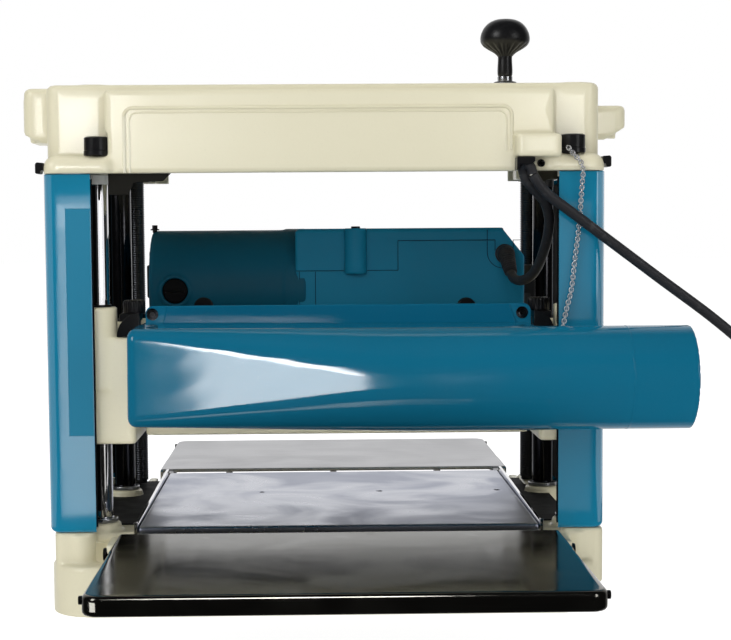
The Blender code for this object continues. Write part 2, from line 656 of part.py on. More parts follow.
def mains_cord():
    finished(tube("cord_loop", LOOP_ROUTE, CORD_R, 26), "rubber")
    finished(tube("power_cord", CORD_ROUTE, CORD_R, 46), "rubber")
    x, y = COIL_AT
    half = COIL_ROWS * CORD_R
    ring = [(COIL_R - half, 2 * half), (COIL_R + half, 2 * half), (COIL_R + half, 0), (COIL_R - half, 0),
            (COIL_R - half, 2 * half)]
    finished(turned("cord_coil", ring, (x, y, 0), sides=32), "rubber")
    plug = rod("power_plug", (PLUG_X, y + 66, 19), (0, 1, 0), 19, 36, sides=20)
    join(plug, rod("plug_tail", (PLUG_X, y + 58, 19), (0, 1, 0), 6, 12, end_radius=11, sides=20))
    for side in (-1, 1):
        join(plug, rod(f"plug_pin_{side}", (PLUG_X + 9.5 * side, y + 98, 19), (0, 1, 0), 2.4, 23, sides=12))
    finished(plug, "black_plastic")


def retaining_chain():
    finished(tube("retaining_chain", CHAIN_ROUTE, 1.6, 30), "chrome")


clear_scene()
PARTS = make_collection("thickness_planer")
CUTTERS = make_collection("cutters")

base_casting()
main_table()
extension_table("outfeed_table", -1)
extension_table("infeed_table", 1)
hinge_rods()
guide_posts()
column_covers()
lead_screw("left", 378)
lead_screw("right", TOP_TOP + GAP)
lift_chain()
top_frame()
top_trim()
switch()
height_gauge()
crank()
carriage("left")
carriage("right")
bearings()
head_bridge()
motor()
armature()
drive_belt()
cutterhead()
feed_rollers()
hood()
hood_fasteners()
cord_boot()
mains_cord()
retaining_chain()
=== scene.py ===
"""Looks of the bench thickness planer: castings, covers, motor, hood, tables, screws, chain and cords.

Lengths in this script are in millimetres, in the frame of the CAD model: the machine rests on z = 0,
+X is to the right from the outfeed end, +Y runs to the infeed end and +Z is up.
"""
import math

import bmesh
import bpy
import numpy as np
import openvdb
from mathutils import Matrix, Vector


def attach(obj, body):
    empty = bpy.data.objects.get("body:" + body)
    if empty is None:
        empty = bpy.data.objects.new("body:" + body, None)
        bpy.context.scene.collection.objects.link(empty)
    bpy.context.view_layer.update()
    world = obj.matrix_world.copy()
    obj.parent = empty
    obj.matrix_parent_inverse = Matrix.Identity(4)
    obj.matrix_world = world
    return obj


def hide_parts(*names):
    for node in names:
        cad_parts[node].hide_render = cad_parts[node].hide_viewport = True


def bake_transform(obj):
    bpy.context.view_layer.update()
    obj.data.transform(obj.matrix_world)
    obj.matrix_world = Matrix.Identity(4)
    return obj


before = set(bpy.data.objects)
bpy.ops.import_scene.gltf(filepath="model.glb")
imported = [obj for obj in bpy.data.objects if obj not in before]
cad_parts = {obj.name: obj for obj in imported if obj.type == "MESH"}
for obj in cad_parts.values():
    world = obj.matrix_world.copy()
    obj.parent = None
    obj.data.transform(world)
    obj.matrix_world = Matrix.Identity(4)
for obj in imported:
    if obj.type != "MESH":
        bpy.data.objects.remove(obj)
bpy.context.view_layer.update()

MM = 0.001
MATERIALS = {}


# ---------------------------------------------------------------- camera

CAMERA_AT = (-19.34, -1403.43, 290.39)
CAMERA_YAW = 0.01769
CAMERA_PITCH = 0.07937
CAMERA_ROLL = -0.00701
CAMERA_LENS = 82.38
CAMERA_SHIFT = (0.0323, 0.0593)


def camera():
    forward = Vector((math.sin(CAMERA_YAW) * math.cos(CAMERA_PITCH),
                      math.cos(CAMERA_YAW) * math.cos(CAMERA_PITCH), -math.sin(CAMERA_PITCH)))
    level_right = forward.cross(Vector((0, 0, 1))).normalized()
    level_up = level_right.cross(forward)
    right = math.cos(CAMERA_ROLL) * level_right + math.sin(CAMERA_ROLL) * level_up
    up = math.cos(CAMERA_ROLL) * level_up - math.sin(CAMERA_ROLL) * level_right
    turn = Matrix((right, up, -forward)).transposed()
    data = bpy.data.cameras.new("camera")
    data.sensor_width = 36
    data.lens = CAMERA_LENS
    data.shift_x, data.shift_y = CAMERA_SHIFT
    data.clip_end = 20
    obj = add_object("camera", data)
    obj.matrix_world = Matrix.Translation(Vector(CAMERA_AT) * MM) @ turn.to_4x4()
    bpy.context.scene.camera = obj


# ---------------------------------------------------------------- materials

def put(node, **values):
    """Set a node's sockets by name, with an underscore for each space."""
    for socket, value in values.items():
        node.inputs[socket.replace("_", " ")].default_value = value


def darker(color, share):
    return tuple(c * share for c in color)


class Nodes:
    """A material's node tree with short ways to add what the finishes share."""

    def __init__(self, name, slot, color, roughness, metallic=0.0, **sockets):
        material = bpy.data.materials.new(name)
        material.use_nodes = True
        self.tree = material.node_tree
        self.shader = self.tree.nodes["Principled BSDF"]
        self.color = (*color, 1.0)
        put(self.shader, Base_Color=self.color, Roughness=roughness, Metallic=metallic, **sockets)
        self.place = self.add("ShaderNodeTexCoord").outputs["Object"]
        self.bump_below = None
        MATERIALS[name] = material

    def add(self, kind, **settings):
        node = self.tree.nodes.new(kind)
        for key, value in settings.items():
            setattr(node, key, value)
        return node

    def link(self, source, target):
        self.tree.links.new(source, target)

    def noise(self, scale, stretch=(1, 1, 1), detail=4.0, distortion=0.0):
        """Noise with about `scale` cells a metre, drawn out along an axis by a stretch below 1."""
        mapping = self.add("ShaderNodeMapping")
        put(mapping, Scale=stretch)
        self.link(self.place, mapping.inputs["Vector"])
        noise = self.add("ShaderNodeTexNoise")
        put(noise, Scale=scale, Detail=detail, Distortion=distortion)
        self.link(mapping.outputs["Vector"], noise.inputs["Vector"])
        return noise.outputs["Fac"]

    def ramp(self, source, low, high, at=(0.3, 0.7)):
        """A source value spread from low to high, as grey."""
        node = self.add("ShaderNodeMapRange")
        put(node, From_Min=at[0], From_Max=at[1], To_Min=low, To_Max=high)
        self.link(source, node.inputs["Value"])
        return node.outputs["Result"]

    def tint(self, factor, color):
        """Mix another colour into the base colour."""
        mix = self.add("ShaderNodeMix", data_type="RGBA")
        before = self.shader.inputs["Base Color"]
        if before.is_linked:
            self.link(before.links[0].from_socket, mix.inputs["A"])
        else:
            put(mix, A=self.color)
        put(mix, B=(*color, 1.0))
        self.link(factor, mix.inputs["Factor"])
        self.link(mix.outputs["Result"], before)

    def mottle(self, scale, share, color, at=(0.3, 0.7), **noise):
        """Mix in up to that share of another colour, in patches."""
        self.tint(self.ramp(self.noise(scale, **noise), 0.0, share, at), color)

    def rough(self, source, low, high, at=(0.3, 0.7)):
        self.link(self.ramp(source, low, high, at), self.shader.inputs["Roughness"])

    def bump(self, scale, depth, detail=2, stretch=(1, 1, 1)):
        """Bumps that many millimetres deep."""
        node = self.add("ShaderNodeBump")
        put(node, Distance=depth * MM, Strength=1.0)
        self.link(self.noise(scale, stretch, detail), node.inputs["Height"])
        if self.bump_below is not None:
            self.link(self.bump_below, node.inputs["Normal"])
        self.bump_below = node.outputs["Normal"]
        self.link(self.bump_below, self.shader.inputs["Normal"])

    def edges(self, color, strength=0.6):
        """Lighter, rubbed edges."""
        pointed = self.add("ShaderNodeNewGeometry").outputs["Pointiness"]
        self.tint(self.ramp(pointed, 0.0, strength, (0.54, 0.62)), color)


def cream_paint():
    paint = Nodes("cream_paint", "cream_casting", (0.69, 0.65, 0.475), 0.4, Coat_Weight=0.25,
                  Coat_Roughness=0.18)
    paint.mottle(9, 0.5, (0.66, 0.618, 0.44))
    paint.mottle(700, 0.35, (0.58, 0.54, 0.40), (0.62, 0.75), detail=3)
    paint.edges((0.79, 0.77, 0.65))
    paint.rough(paint.noise(40), 0.34, 0.46)
    paint.bump(320, 0.05)
    paint.bump(1500, 0.012)


def blue_gloss(name, color, shine=0.5):
    blue = Nodes(name, "blue_plastic", color, 0.07, Specular_IOR_Level=shine)
    blue.mottle(7, 0.45, darker(color, 0.88))
    blue.mottle(1700, 0.5, (0.10, 0.28, 0.36), (0.74, 0.8), detail=1)
    blue.edges((0.02, 0.19, 0.30), strength=0.35)
    blue.rough(blue.noise(28, detail=7, distortion=0.6), 0.05, 0.13, (0.35, 0.72))
    blue.bump(26, 0.03, detail=1)
    blue.bump(900, 0.004)


def label_film():
    film = Nodes("label_film", "blue_plastic", (0.005, 0.19, 0.32), 0.42, Specular_IOR_Level=0.3)
    film.mottle(12, 0.5, (0.006, 0.175, 0.295))
    film.rough(film.noise(60), 0.36, 0.5)
    film.bump(500, 0.006)


def motor_blue(name, color):
    blue = Nodes(name, "motor_plastic", color, 0.5, Specular_IOR_Level=0.12)
    blue.mottle(14, 0.5, darker(color, 0.87))
    blue.mottle(1900, 0.5, (0.06, 0.17, 0.22), (0.73, 0.8), detail=1)
    blue.edges((0.02, 0.15, 0.22), strength=0.5)
    blue.rough(blue.noise(90), 0.4, 0.52)
    blue.bump(2400, 0.015, detail=1)


def brushed(name, color, rough_range, along=(0.02, 1, 1), smear=None, slot="brushed_steel", rim=1.0):
    """Brushed steel. At grazing angles it reflects only the share given by its rim."""
    steel = Nodes(name, slot, color, sum(rough_range) / 2, 1.0, Specular_Tint=(rim, rim, rim, 1))
    steel.mottle(1500, 0.7, darker(color, 0.78), stretch=along, detail=3)
    smears = steel.noise(11, detail=5, distortion=1.2)
    if smear:
        steel.tint(steel.ramp(smears, 0.0, 0.75, (0.42, 0.62)), smear)
    steel.mottle(420, 0.6, darker(color, 0.45), (0.7, 0.78), detail=2)
    steel.rough(smears, *rough_range, (0.35, 0.68))
    steel.bump(1500, 0.008, 3, along)


def plain_metal(name, color, rough_range, slot="chrome", wear=None, metallic=1.0):
    metal = Nodes(name, slot, color, sum(rough_range) / 2, metallic)
    metal.rough(metal.noise(70, detail=6), *rough_range)
    metal.mottle(45, 0.5, darker(color, 0.82), detail=5)
    if wear:
        metal.edges(wear)
    metal.bump(900, 0.006)


def moulded(name, color, rough_range, grain, slot="black_plastic", worn=None, shine=0.45):
    body = Nodes(name, slot, color, sum(rough_range) / 2, Specular_IOR_Level=shine)
    body.rough(body.noise(60, detail=5), *rough_range)
    body.mottle(35, 0.6, darker(color, 0.7))
    if worn:
        body.mottle(140, 0.6, worn, (0.58, 0.72), detail=6)
        body.edges(worn)
    body.bump(grain, 0.015)


def gauge_marks():
    """White plastic with a black line every 5 mm, printed across its face."""
    plate = Nodes("gauge_marks", "white_plastic", (0.74, 0.74, 0.70), 0.4)
    split = plate.add("ShaderNodeSeparateXYZ")
    plate.link(plate.place, split.inputs["Vector"])
    lines = plate.add("ShaderNodeMath", operation="PINGPONG")
    lines.inputs[1].default_value = 2.5 * MM
    plate.link(split.outputs["Z"], lines.inputs[0])
    plate.tint(plate.ramp(lines.outputs["Value"], 1.0, 0.0, (0.25 * MM, 0.4 * MM)), (0.01, 0.01, 0.01))
    plate.mottle(200, 0.15, (0.45, 0.42, 0.36))
    plate.bump(1200, 0.01)


def make_materials():
    cream_paint()
    blue_gloss("blue_gloss", (0.005, 0.124, 0.216))
    blue_gloss("flange_blue", (0.004, 0.122, 0.222), 0.08)
    blue_gloss("cover_blue", (0.007, 0.180, 0.305))
    label_film()
    motor_blue("motor_blue", (0.003, 0.078, 0.132))
    # The gear case's copy of the motor plastic, painted about 2.3 times lighter than the can's: painted light
    # for the light that falls on the case.
    motor_blue("case_blue_painted_light", (0.007, 0.180, 0.310))
    brushed("far_table_steel", (0.66, 0.66, 0.68), (0.34, 0.44), rim=0.85)
    brushed("main_table_steel", (0.66, 0.68, 0.76), (0.26, 0.42), smear=(0.42, 0.45, 0.56), rim=0.85)
    # The outfeed table's steel: the folding tables' steel painted near-black, as painted shade and painted
    # dark reflections.
    brushed("near_table_steel_painted_dark", (0.12, 0.117, 0.105), (0.10, 0.20), smear=(0.18, 0.175, 0.155),
            slot="dark_steel", rim=0.8)
    brushed("screw_steel", (0.10, 0.105, 0.12), (0.25, 0.4), along=(1, 1, 0.1), slot="dark_steel")
    brushed("turned_steel", (0.55, 0.56, 0.58), (0.22, 0.35), along=(0.05, 1, 1))
    plain_metal("chrome", (0.78, 0.78, 0.80), (0.04, 0.09))
    # Chrome painted near-black: painted shade and painted dark reflections for the guide posts other than the
    # near left one.
    plain_metal("chrome_painted_dark", (0.045, 0.045, 0.05), (0.12, 0.22))
    plain_metal("bright_zinc", (0.84, 0.84, 0.86), (0.22, 0.36), metallic=0.75)
    plain_metal("black_oxide", (0.03, 0.03, 0.032), (0.25, 0.4), slot="dark_steel", wear=(0.16, 0.16, 0.17))
    plain_metal("zinc_bracket", (0.13, 0.12, 0.085), (0.3, 0.5), slot="dark_steel", wear=(0.3, 0.28, 0.2))
    plain_metal("cast_aluminium", (0.42, 0.42, 0.43), (0.35, 0.5), slot="brushed_steel")
    moulded("black_plastic", (0.006, 0.006, 0.007), (0.28, 0.42), 1400)
    # A near-black sheet: painted shade for the left bracket under the top casting.
    moulded("shaded_sheet", (0.012, 0.011, 0.008), (0.5, 0.65), 700, slot="dark_steel", shine=0.2)
    moulded("black_sheet", (0.005, 0.005, 0.006), (0.6, 0.75), 700, shine=0.1)
    moulded("rubber", (0.020, 0.020, 0.023), (0.42, 0.6), 1800, slot="rubber", worn=(0.05, 0.05, 0.052))
    moulded("roller_rubber", (0.03, 0.028, 0.026), (0.5, 0.7), 900, slot="rubber", worn=(0.09, 0.08, 0.07))
    moulded("white_plastic", (0.72, 0.72, 0.69), (0.3, 0.45), 900, slot="white_plastic")
    gauge_marks()


# ---------------------------------------------------------------- making pieces

def finish_piece(obj, material, body, *nodes):
    """Give a piece its material, let it ride on a body, and let it stand for some CAD nodes."""
    obj.data.materials.clear()
    obj.data.materials.append(MATERIALS[material])
    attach(obj, body)
    if nodes:
        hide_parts(*nodes)
    return obj


def add_object(name, data):
    obj = bpy.data.objects.new(name, data)
    bpy.context.scene.collection.objects.link(obj)
    return obj


def link_mesh(name, mesh, crease=35):
    mesh.shade_smooth()
    if crease:
        mesh.set_sharp_from_angle(angle=math.radians(crease))
    return add_object(name, mesh)


def from_bmesh(name, bm, crease=35):
    bmesh.ops.recalc_face_normals(bm, faces=bm.faces)
    mesh = bpy.data.meshes.new(name)
    bm.to_mesh(mesh)
    bm.free()
    return link_mesh(name, mesh, crease)


def bevelled(obj, width, segments=3):
    """The piece with its sharp edges rounded off, if the width is not zero."""
    if width:
        modifier = obj.modifiers.new("edges", "BEVEL")
        modifier.width = width * MM
        modifier.segments = segments
        modifier.limit_method = "ANGLE"
        modifier.angle_limit = math.radians(35)
        modifier.harden_normals = True
    return obj


def joined(name, *objects):
    """Some mesh objects made into one, with their modifiers applied."""
    bm = bmesh.new()
    graph = bpy.context.evaluated_depsgraph_get()
    for obj in objects:
        bm.from_mesh(bpy.data.meshes.new_from_object(obj.evaluated_get(graph)))
    mesh = bpy.data.meshes.new(name)
    bm.to_mesh(mesh)
    bm.free()
    for obj in objects:
        bpy.data.objects.remove(obj, do_unlink=True)
    return add_object(name, mesh)


def bridge(bm, rows):
    """Faces between each closed row of vertices and the next one. A row of one vertex is a tip."""
    for low, high in zip(rows, rows[1:]):
        for i in range(max(len(low), len(high))):
            j = i + 1
            corners = [low[i % len(low)], low[j % len(low)], high[j % len(high)], high[i % len(high)]]
            kept = [v for k, v in enumerate(corners) if v not in corners[:k]]
            if len(kept) > 2:
                bm.faces.new(kept)


def skin(name, rings, crease=35, ends="filled"):
    """A surface through rings of points. Its ends are filled, open or joined to each other."""
    bm = bmesh.new()
    rows = [[bm.verts.new(Vector(p) * MM) for p in ring] for ring in rings]
    bridge(bm, rows + rows[:1] if ends == "joined" else rows)
    if ends == "filled":
        bm.faces.new(rows[0])
        bm.faces.new(rows[-1])
    return from_bmesh(name, bm, crease)


def eased(share):
    """A share from 0 to 1 that starts and stops gently."""
    return share * share * (3 - 2 * share)


def polar(radius, angle, height=0.0):
    return Vector((radius * math.cos(angle), radius * math.sin(angle), height))


def turn_angles(count):
    return [2 * math.pi * i / count for i in range(count)]


def aligned(at, direction):
    """A place at a point, with Z along a direction."""
    turn = Vector((0, 0, 1)).rotation_difference(Vector(direction).normalized()).to_matrix().to_4x4()
    return Matrix.Translation(at) @ turn


def turned(name, profile, at, direction=(0, 0, 1), sides=64, wave=lambda height, angle: 1.0):
    """A turned piece from (radius, height) pairs. Its radius can be scaled by a wave of height and angle."""
    place = aligned(at, direction)
    rings = [[place @ polar(radius * wave(height, a), a, height) for a in turn_angles(sides if radius else 1)]
             for radius, height in profile]
    return skin(name, rings, ends="open")


def rounded(profile, radius=0.6, steps=3):
    """A turned profile with its corners rounded off."""
    out = [profile[0]]
    for before, corner, after in zip(profile, profile[1:], profile[2:]):
        here = Vector(corner)
        start, end = Vector(before) - here, Vector(after) - here
        reach = min(radius, start.length / 2.2, end.length / 2.2)
        start, end = here + start.normalized() * reach, here + end.normalized() * reach
        for i in range(steps + 1):
            t = i / steps
            out.append(tuple(start * (1 - t) ** 2 + here * 2 * t * (1 - t) + end * t * t))
    out.append(profile[-1])
    return out


def rod(name, start, direction, radius, length, edge=0.6, sides=48):
    profile = [(0, 0), (radius, 0), (radius, length), (0, length)]
    return turned(name, rounded(profile, edge), start, direction, sides)


def ring(name, at, direction, inner, outer, height, edge=0.4, sides=64):
    profile = [(inner, 0), (outer, 0), (outer, height), (inner, height), (inner, 0)]
    return turned(name, rounded(profile, edge), at, direction, sides)


def smooth_line(points, gap):
    """Evenly spaced points, that many millimetres apart, on a smooth curve through the given ones."""
    knots = [Vector(p) for p in points]
    ends = [2 * knots[0] - knots[1]] + knots + [2 * knots[-1] - knots[-2]]
    dense = []
    for i in range(1, len(ends) - 2):
        p0, p1, p2, p3 = ends[i - 1:i + 3]
        for step in range(24):
            t = step / 24
            dense.append(0.5 * (2 * p1 + (p2 - p0) * t + (2 * p0 - 5 * p1 + 4 * p2 - p3) * t * t
                                + (3 * p1 - p0 - 3 * p2 + p3) * t ** 3))
    dense.append(knots[-1])
    along = np.concatenate([[0], np.cumsum([(b - a).length for a, b in zip(dense, dense[1:])])])
    count = max(2, round(along[-1] / gap) + 1)
    wanted = np.linspace(0, along[-1], count)
    table = np.array(dense)
    return [Vector([np.interp(w, along, table[:, k]) for k in range(3)]) for w in wanted]


def line_frames(points, closed=False):
    """At each point of a line, a matrix whose Z runs along it, turned as little as possible on the way."""
    frames = []
    count = len(points)
    across = None
    for i, point in enumerate(points):
        after = points[(i + 1) % count] if closed or i + 1 < count else point
        before = points[i - 1] if closed or i else point
        ahead = (after - before).normalized()
        if across is None:
            across = ahead.orthogonal()
        across = (across - ahead * across.dot(ahead)).normalized()
        turn = Matrix((across, ahead.cross(across), ahead)).transposed().to_4x4()
        frames.append(Matrix.Translation(point) @ turn)
    return frames


def swept(name, points, radius, sides=16, closed=False):
    """A round wire along some points. Its radius can be a function of the share of the way."""
    frames = line_frames(points, closed)
    rings = []
    for i, place in enumerate(frames):
        r = radius(i / (len(frames) - 1)) if callable(radius) else radius
        rings.append([place @ polar(r, a) for a in turn_angles(sides)])
    return skin(name, rings, 50, "joined" if closed else "filled")


def prism(name, outline, axis, low, high, bevel=0.0, segments=3):
    """An outline in YZ, XZ or XY, swept along X, Y or Z."""
    order = {"X": (2, 0, 1), "Y": (0, 2, 1), "Z": (0, 1, 2)}[axis]
    ends = [[[(*point, end)[i] for i in order] for point in outline] for end in (low, high)]
    return bevelled(skin(name, ends), bevel, segments)


def block(name, x, y, z, bevel=0.0, segments=3):
    return prism(name, [(x[0], y[0]), (x[1], y[0]), (x[1], y[1]), (x[0], y[1])], "Z", *z, bevel, segments)


def arc(centre, radius, start, end, steps=8):
    """Points of an arc, with its angles in degrees."""
    angles = [math.radians(start + (end - start) * i / steps) for i in range(steps + 1)]
    return [(centre[0] + radius * math.cos(a), centre[1] + radius * math.sin(a)) for a in angles]


# ---------------------------------------------------------------- cast shapes

def span(values, limits):
    """The distance outside two limits, which is negative between them."""
    return np.abs(values - sum(limits) / 2) - (limits[1] - limits[0]) / 2


def meet(a, b, radius):
    """The distance from where two distances are both negative, with the edge between them rounded."""
    a, b = a + radius, b + radius
    return np.hypot(np.maximum(a, 0), np.maximum(b, 0)) + np.minimum(np.maximum(a, b), 0) - radius


class Cast:
    """A shape as signed distances on a grid, in millimetres. Its unions and cuts meet in fillets."""

    def __init__(self, x, y, z, step):
        self.low = np.array((x[0], y[0], z[0]))
        self.step = step
        axes = [np.arange(low, high + step, step, dtype=np.float32) for low, high in (x, y, z)]
        self.x, self.y, self.z = np.meshgrid(*axes, indexing="ij", sparse=True)
        self.d = None

    def swept_up(self, flat, z, edge):
        return meet(flat, span(self.z, z), edge)

    def plate(self, x, y, z, corner=3.0, edge=1.0):
        """A block with its upright edges rounded by `corner` and the others by `edge`."""
        return self.swept_up(meet(span(self.x, x), span(self.y, y), corner), z, edge)

    def post(self, at, radius, z, edge=1.0):
        return self.swept_up(np.hypot(self.x - at[0], self.y - at[1]) - radius, z, edge)

    def along_x(self, at, radius, x, edge=0.5):
        return meet(np.hypot(self.y - at[0], self.z - at[1]) - radius, span(self.x, x), edge)

    @staticmethod
    def smooth(a, b, fillet):
        share = np.clip(0.5 + 0.5 * (b - a) / fillet, 0, 1)
        return b * (1 - share) + a * share - fillet * share * (1 - share)

    def add(self, shape, fillet=2.0):
        self.d = shape if self.d is None else self.smooth(self.d, shape, fillet)

    def cut(self, shape, fillet=1.0):
        self.d = -self.smooth(-self.d, shape, fillet)

    def trim(self, shape):
        """Cut with a sharp edge: keep only where the given distance is negative."""
        self.d = np.maximum(self.d, shape)

    def piece(self, name, adaptivity=0.02):
        """The shape's surface as an object whose normals come from the distances themselves."""
        full = np.broadcast(self.x, self.y, self.z).shape
        d = np.array(np.broadcast_to(self.d, full), np.float32, order="C")
        for axis in range(3):
            edge = [slice(None)] * 3
            for end in (0, -1):
                edge[axis] = end
                d[tuple(edge)] = np.maximum(d[tuple(edge)], 0.5 * self.step)
        grid = openvdb.FloatGrid(background=10 * self.step)
        grid.copyFromArray(d)
        points, triangles, quads = grid.convertToPolygons(isovalue=0.0, adaptivity=adaptivity)
        mesh = bpy.data.meshes.new(name)
        mesh.from_pydata((points * self.step + self.low) * MM, [], quads.tolist() + triangles.tolist())
        mesh.validate()
        normals = np.empty((len(points), 3))
        cell = np.clip(points, 0, np.array(d.shape) - 1.001)
        corner = cell.astype(int)
        part = cell - corner
        for axis, slope in enumerate(np.gradient(d)):
            total = np.zeros(len(points))
            for i in range(8):
                pick = np.array((i & 1, i >> 1 & 1, i >> 2))
                weight = np.prod(np.where(pick, part, 1 - part), axis=1)
                total += weight * slope[tuple((corner + pick).T)]
            normals[:, axis] = total
        normals /= np.maximum(np.linalg.norm(normals, axis=1), 1e-9)[:, None]
        obj = link_mesh(name, mesh, 0)
        mesh.normals_split_custom_set_from_vertices(normals[:len(mesh.vertices)])
        return obj


# ---------------------------------------------------------------- cords

CORD_R = 3.9
CORD_STEP = 4.0
LOOP_ROUTE = [(143.5, -37.5, 254.6), (145, -43.5, 250.6), (148.6, -54, 248.9), (153.6, -66, 251.2),
              (158.2, -78, 257.8), (162, -93, 271), (163.6, -110, 286.5), (162.2, -125, 300),
              (156.5, -138, 311.5), (147, -148.2, 320.7), (141, -151.3, 327.5), (139.4, -151.6, 331.4)]
CORD_ROUTE = [(145.6, -157.8, 330.4), (150.5, -157.2, 323), (158, -156.6, 315), (170, -156.6, 306),
              (188, -156.6, 292.5), (212, -156.6, 274.5), (242, -156.6, 252), (281, -156.6, 223),
              (310, -155, 198), (338, -152, 167), (358, -148, 130), (371, -144, 88), (381, -139.5, 49),
              (393, -131, 20), (408, -117, 6.6), (424, -101, 4.2), (440.5, -85.9, 4.2)]
COIL_AT = Vector((402.0, -40.0, 0.0))
COIL_MIDDLE = 44.0            # radius of the middle turn on the ground
COIL_PITCH = 7.86             # one cord's width and a hair of air
COIL_START = -50.0            # angle at which the cord runs into the coil, in degrees
COIL_LIFT = 4.9               # height of the lowest turns' middle, with the tie below them
COIL_LEAVE = 230.0            # angle into the last turn at which the cord crosses to the plug
PLUG_X = 430.0
PLUG_Y = 18.0
PLUG_Z = 19.0


def coil_point(turn, angle):
    """Radius and height of the coil on a turn, that many degrees after the turn's start."""
    p = COIL_PITCH
    s = eased(min(angle / 90, 1))
    inner = COIL_MIDDLE - p
    if turn < 3:
        lead = 8.1 if turn == 0 else p
        return COIL_MIDDLE + p * (1 - turn) + lead * (1 - s), COIL_LIFT - (0.7 * (1 - s) if turn == 0 else 0)
    rise = COIL_LIFT + p * math.sqrt(1 - (1 - s) ** 2)
    if turn == 3:
        return inner, rise
    lean = math.pi / 2 * (1 - s)
    over = inner + p * math.cos(lean), rise + p * math.sin(lean)
    if turn == 4:
        return over
    lean = math.pi / 2 * s
    return over[0] + p * math.cos(lean), over[1] + p * math.sin(lean)


def coil_line(step=5):
    """The cord's line round its coil and over it to the plug: three turns, two on them and one on top."""
    points = []
    for degree in range(step, int(5 * 360 + COIL_LEAVE) + 1, step):
        turn = min(degree // 360, 5)
        radius, z = coil_point(turn, degree - 360 * turn)
        points.append(COIL_AT + polar(radius, math.radians(COIL_START + degree), z))
    left, top = points[-1].x, points[-1].z
    bend = (PLUG_X - left) / 2
    for degree in range(180 + step, 360 + step, step):
        rise = (PLUG_Z - top) * (degree - 180) / 180
        points.append(Vector((left + bend, COIL_AT.y, top)) + polar(bend, math.radians(degree), rise))
    ahead = [*range(int(COIL_AT.y) + 4, int(PLUG_Y), 4), PLUG_Y - 0.3]
    return points + [Vector((PLUG_X, y, PLUG_Z)) for y in ahead]


def line_length(points):
    return sum((b - a).length for a, b in zip(points, points[1:]))


def declare_cord(points, with_pieces=()):
    line_length(points) * MM


def hull(points):
    """The points of a flat set that lie on its outside, in order."""
    ordered = sorted(points)
    sides = []
    for line in (ordered, ordered[::-1]):
        side = []
        for p in line:
            while len(side) > 1 and ((side[-1][0] - side[-2][0]) * (p[1] - side[-2][1])
                                     - (side[-1][1] - side[-2][1]) * (p[0] - side[-2][0])) <= 0:
                side.pop()
            side.append(p)
        sides += side[:-1]
    return sides


def cord_tie():
    """A thin wire tie round all the turns."""
    angle_in = 190.0
    angle = math.radians(COIL_START + angle_in)
    around = []
    for turn in range(6):
        radius, z = coil_point(turn, angle_in)
        around += arc((radius, z), CORD_R + 0.55, 0, 360, 24)
    points = [COIL_AT + polar(r, angle, z) for r, z in hull(around)]
    loop = swept("cord_tie_loop", points, 0.5, 8, closed=True)
    top = max(points, key=lambda p: p.z)
    ends = []
    for side in (-1, 1):
        route = smooth_line([top, top + Vector((2 * side, 3, 2)), top + Vector((5 * side, 9, 1.5))], 1)
        ends.append(swept(f"cord_tie_end_{side}", route, 0.5, 8))
    return finish_piece(joined("cord_tie", loop, *ends), "black_plastic", "frame")


def power_plug():
    """A round two-pin plug on a ribbed tail."""
    at = (PLUG_X, PLUG_Y, PLUG_Z)
    profile = [(0, 0), (4.6, 0), (6.0, 1), (7.4, 6), (10.5, 8.5), (13.5, 11), (17.5, 18), (19, 24), (19, 40),
               (17.6, 44), (0, 44)]

    def grip(height, angle):
        return 1 - 0.035 * (0.5 + 0.5 * math.cos(16 * angle)) * (1 if 12 < height < 41 else 0)
    body = turned("plug_body", rounded(profile, 1.0), at, (0, 1, 0), 96, grip)
    finish_piece(body, "black_plastic", "frame", "power_plug")
    pins = []
    for side in (-1, 1):
        start = (PLUG_X + 9.5 * side, PLUG_Y + 43, PLUG_Z)
        pins.append(rod(f"plug_pin_{side}", start, (0, 1, 0), 2.4, 20, edge=1.2, sides=24))
    pins = finish_piece(joined("plug_pins", *pins), "chrome", "frame")
    return body, pins


def mains_cord():
    route = smooth_line(CORD_ROUTE, CORD_STEP) + coil_line()
    cord = swept("power_cord_line", route, CORD_R, 16)
    finish_piece(cord, "rubber", "frame", "power_cord", "cord_coil")
    declare_cord(route, [*power_plug(), cord_tie()])


def cord_loop():
    """The short slack loop from the motor to the top casting."""
    route = smooth_line(LOOP_ROUTE, CORD_STEP)
    loop = swept("motor_cord_loop", route, CORD_R, 16)
    loop.data.materials.append(MATERIALS["rubber"])
    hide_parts("cord_loop")
    first, last = (tuple(Vector(LOOP_ROUTE[i]) * MM) for i in (0, -1))
    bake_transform(loop)
    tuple(first)
    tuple(last)
    declare_cord(route)


# ---------------------------------------------------------------- small hardware

def socket_screw(name, at, direction, radius, height, body="frame", washer=0.0):
    """A black cap screw with a hexagon socket, standing on a point, with a washer if it has one."""
    place = aligned(at, direction)
    sixth = math.pi / 3

    def hexagon(angle):
        return math.cos(sixth / 2) / math.cos((angle + sixth / 2) % sixth - sixth / 2)
    levels = [(1, 0), (1, height - 0.12 * radius), (0.93, height - 0.03 * radius), (0.82, height)]
    rings = [[place @ polar(radius * share, a, level) for a in turn_angles(36)] for share, level in levels]
    rings += [[place @ polar(radius * 0.52 * hexagon(a), a, level) for a in turn_angles(36)]
              for level in (height, height * 0.35)]
    screw = skin(name, rings)
    if washer:
        screw = joined(name, screw, ring(name + "_washer", at, direction, radius * 0.5, washer, 0.8, 0.3))
    return finish_piece(screw, "black_oxide", body)


def threaded(name, at, low, high, radius, pitch=2.0, depth=0.55):
    """A round screw whose left-hand thread shows as a wave along it."""
    sides = 24
    count = int((high - low) / (pitch / 5))
    rings = []
    for i in range(count + 1):
        z = low + (high - low) * i / count
        waves = [abs(2 * ((z / pitch + k / sides) % 1.0) - 1) for k in range(sides)]
        rings.append([Vector((*at, 0)) + polar(radius - depth * (1 - wave), a, z)
                      for wave, a in zip(waves, turn_angles(sides))])
    return skin(name, rings, 0)


# ---------------------------------------------------------------- base and tables

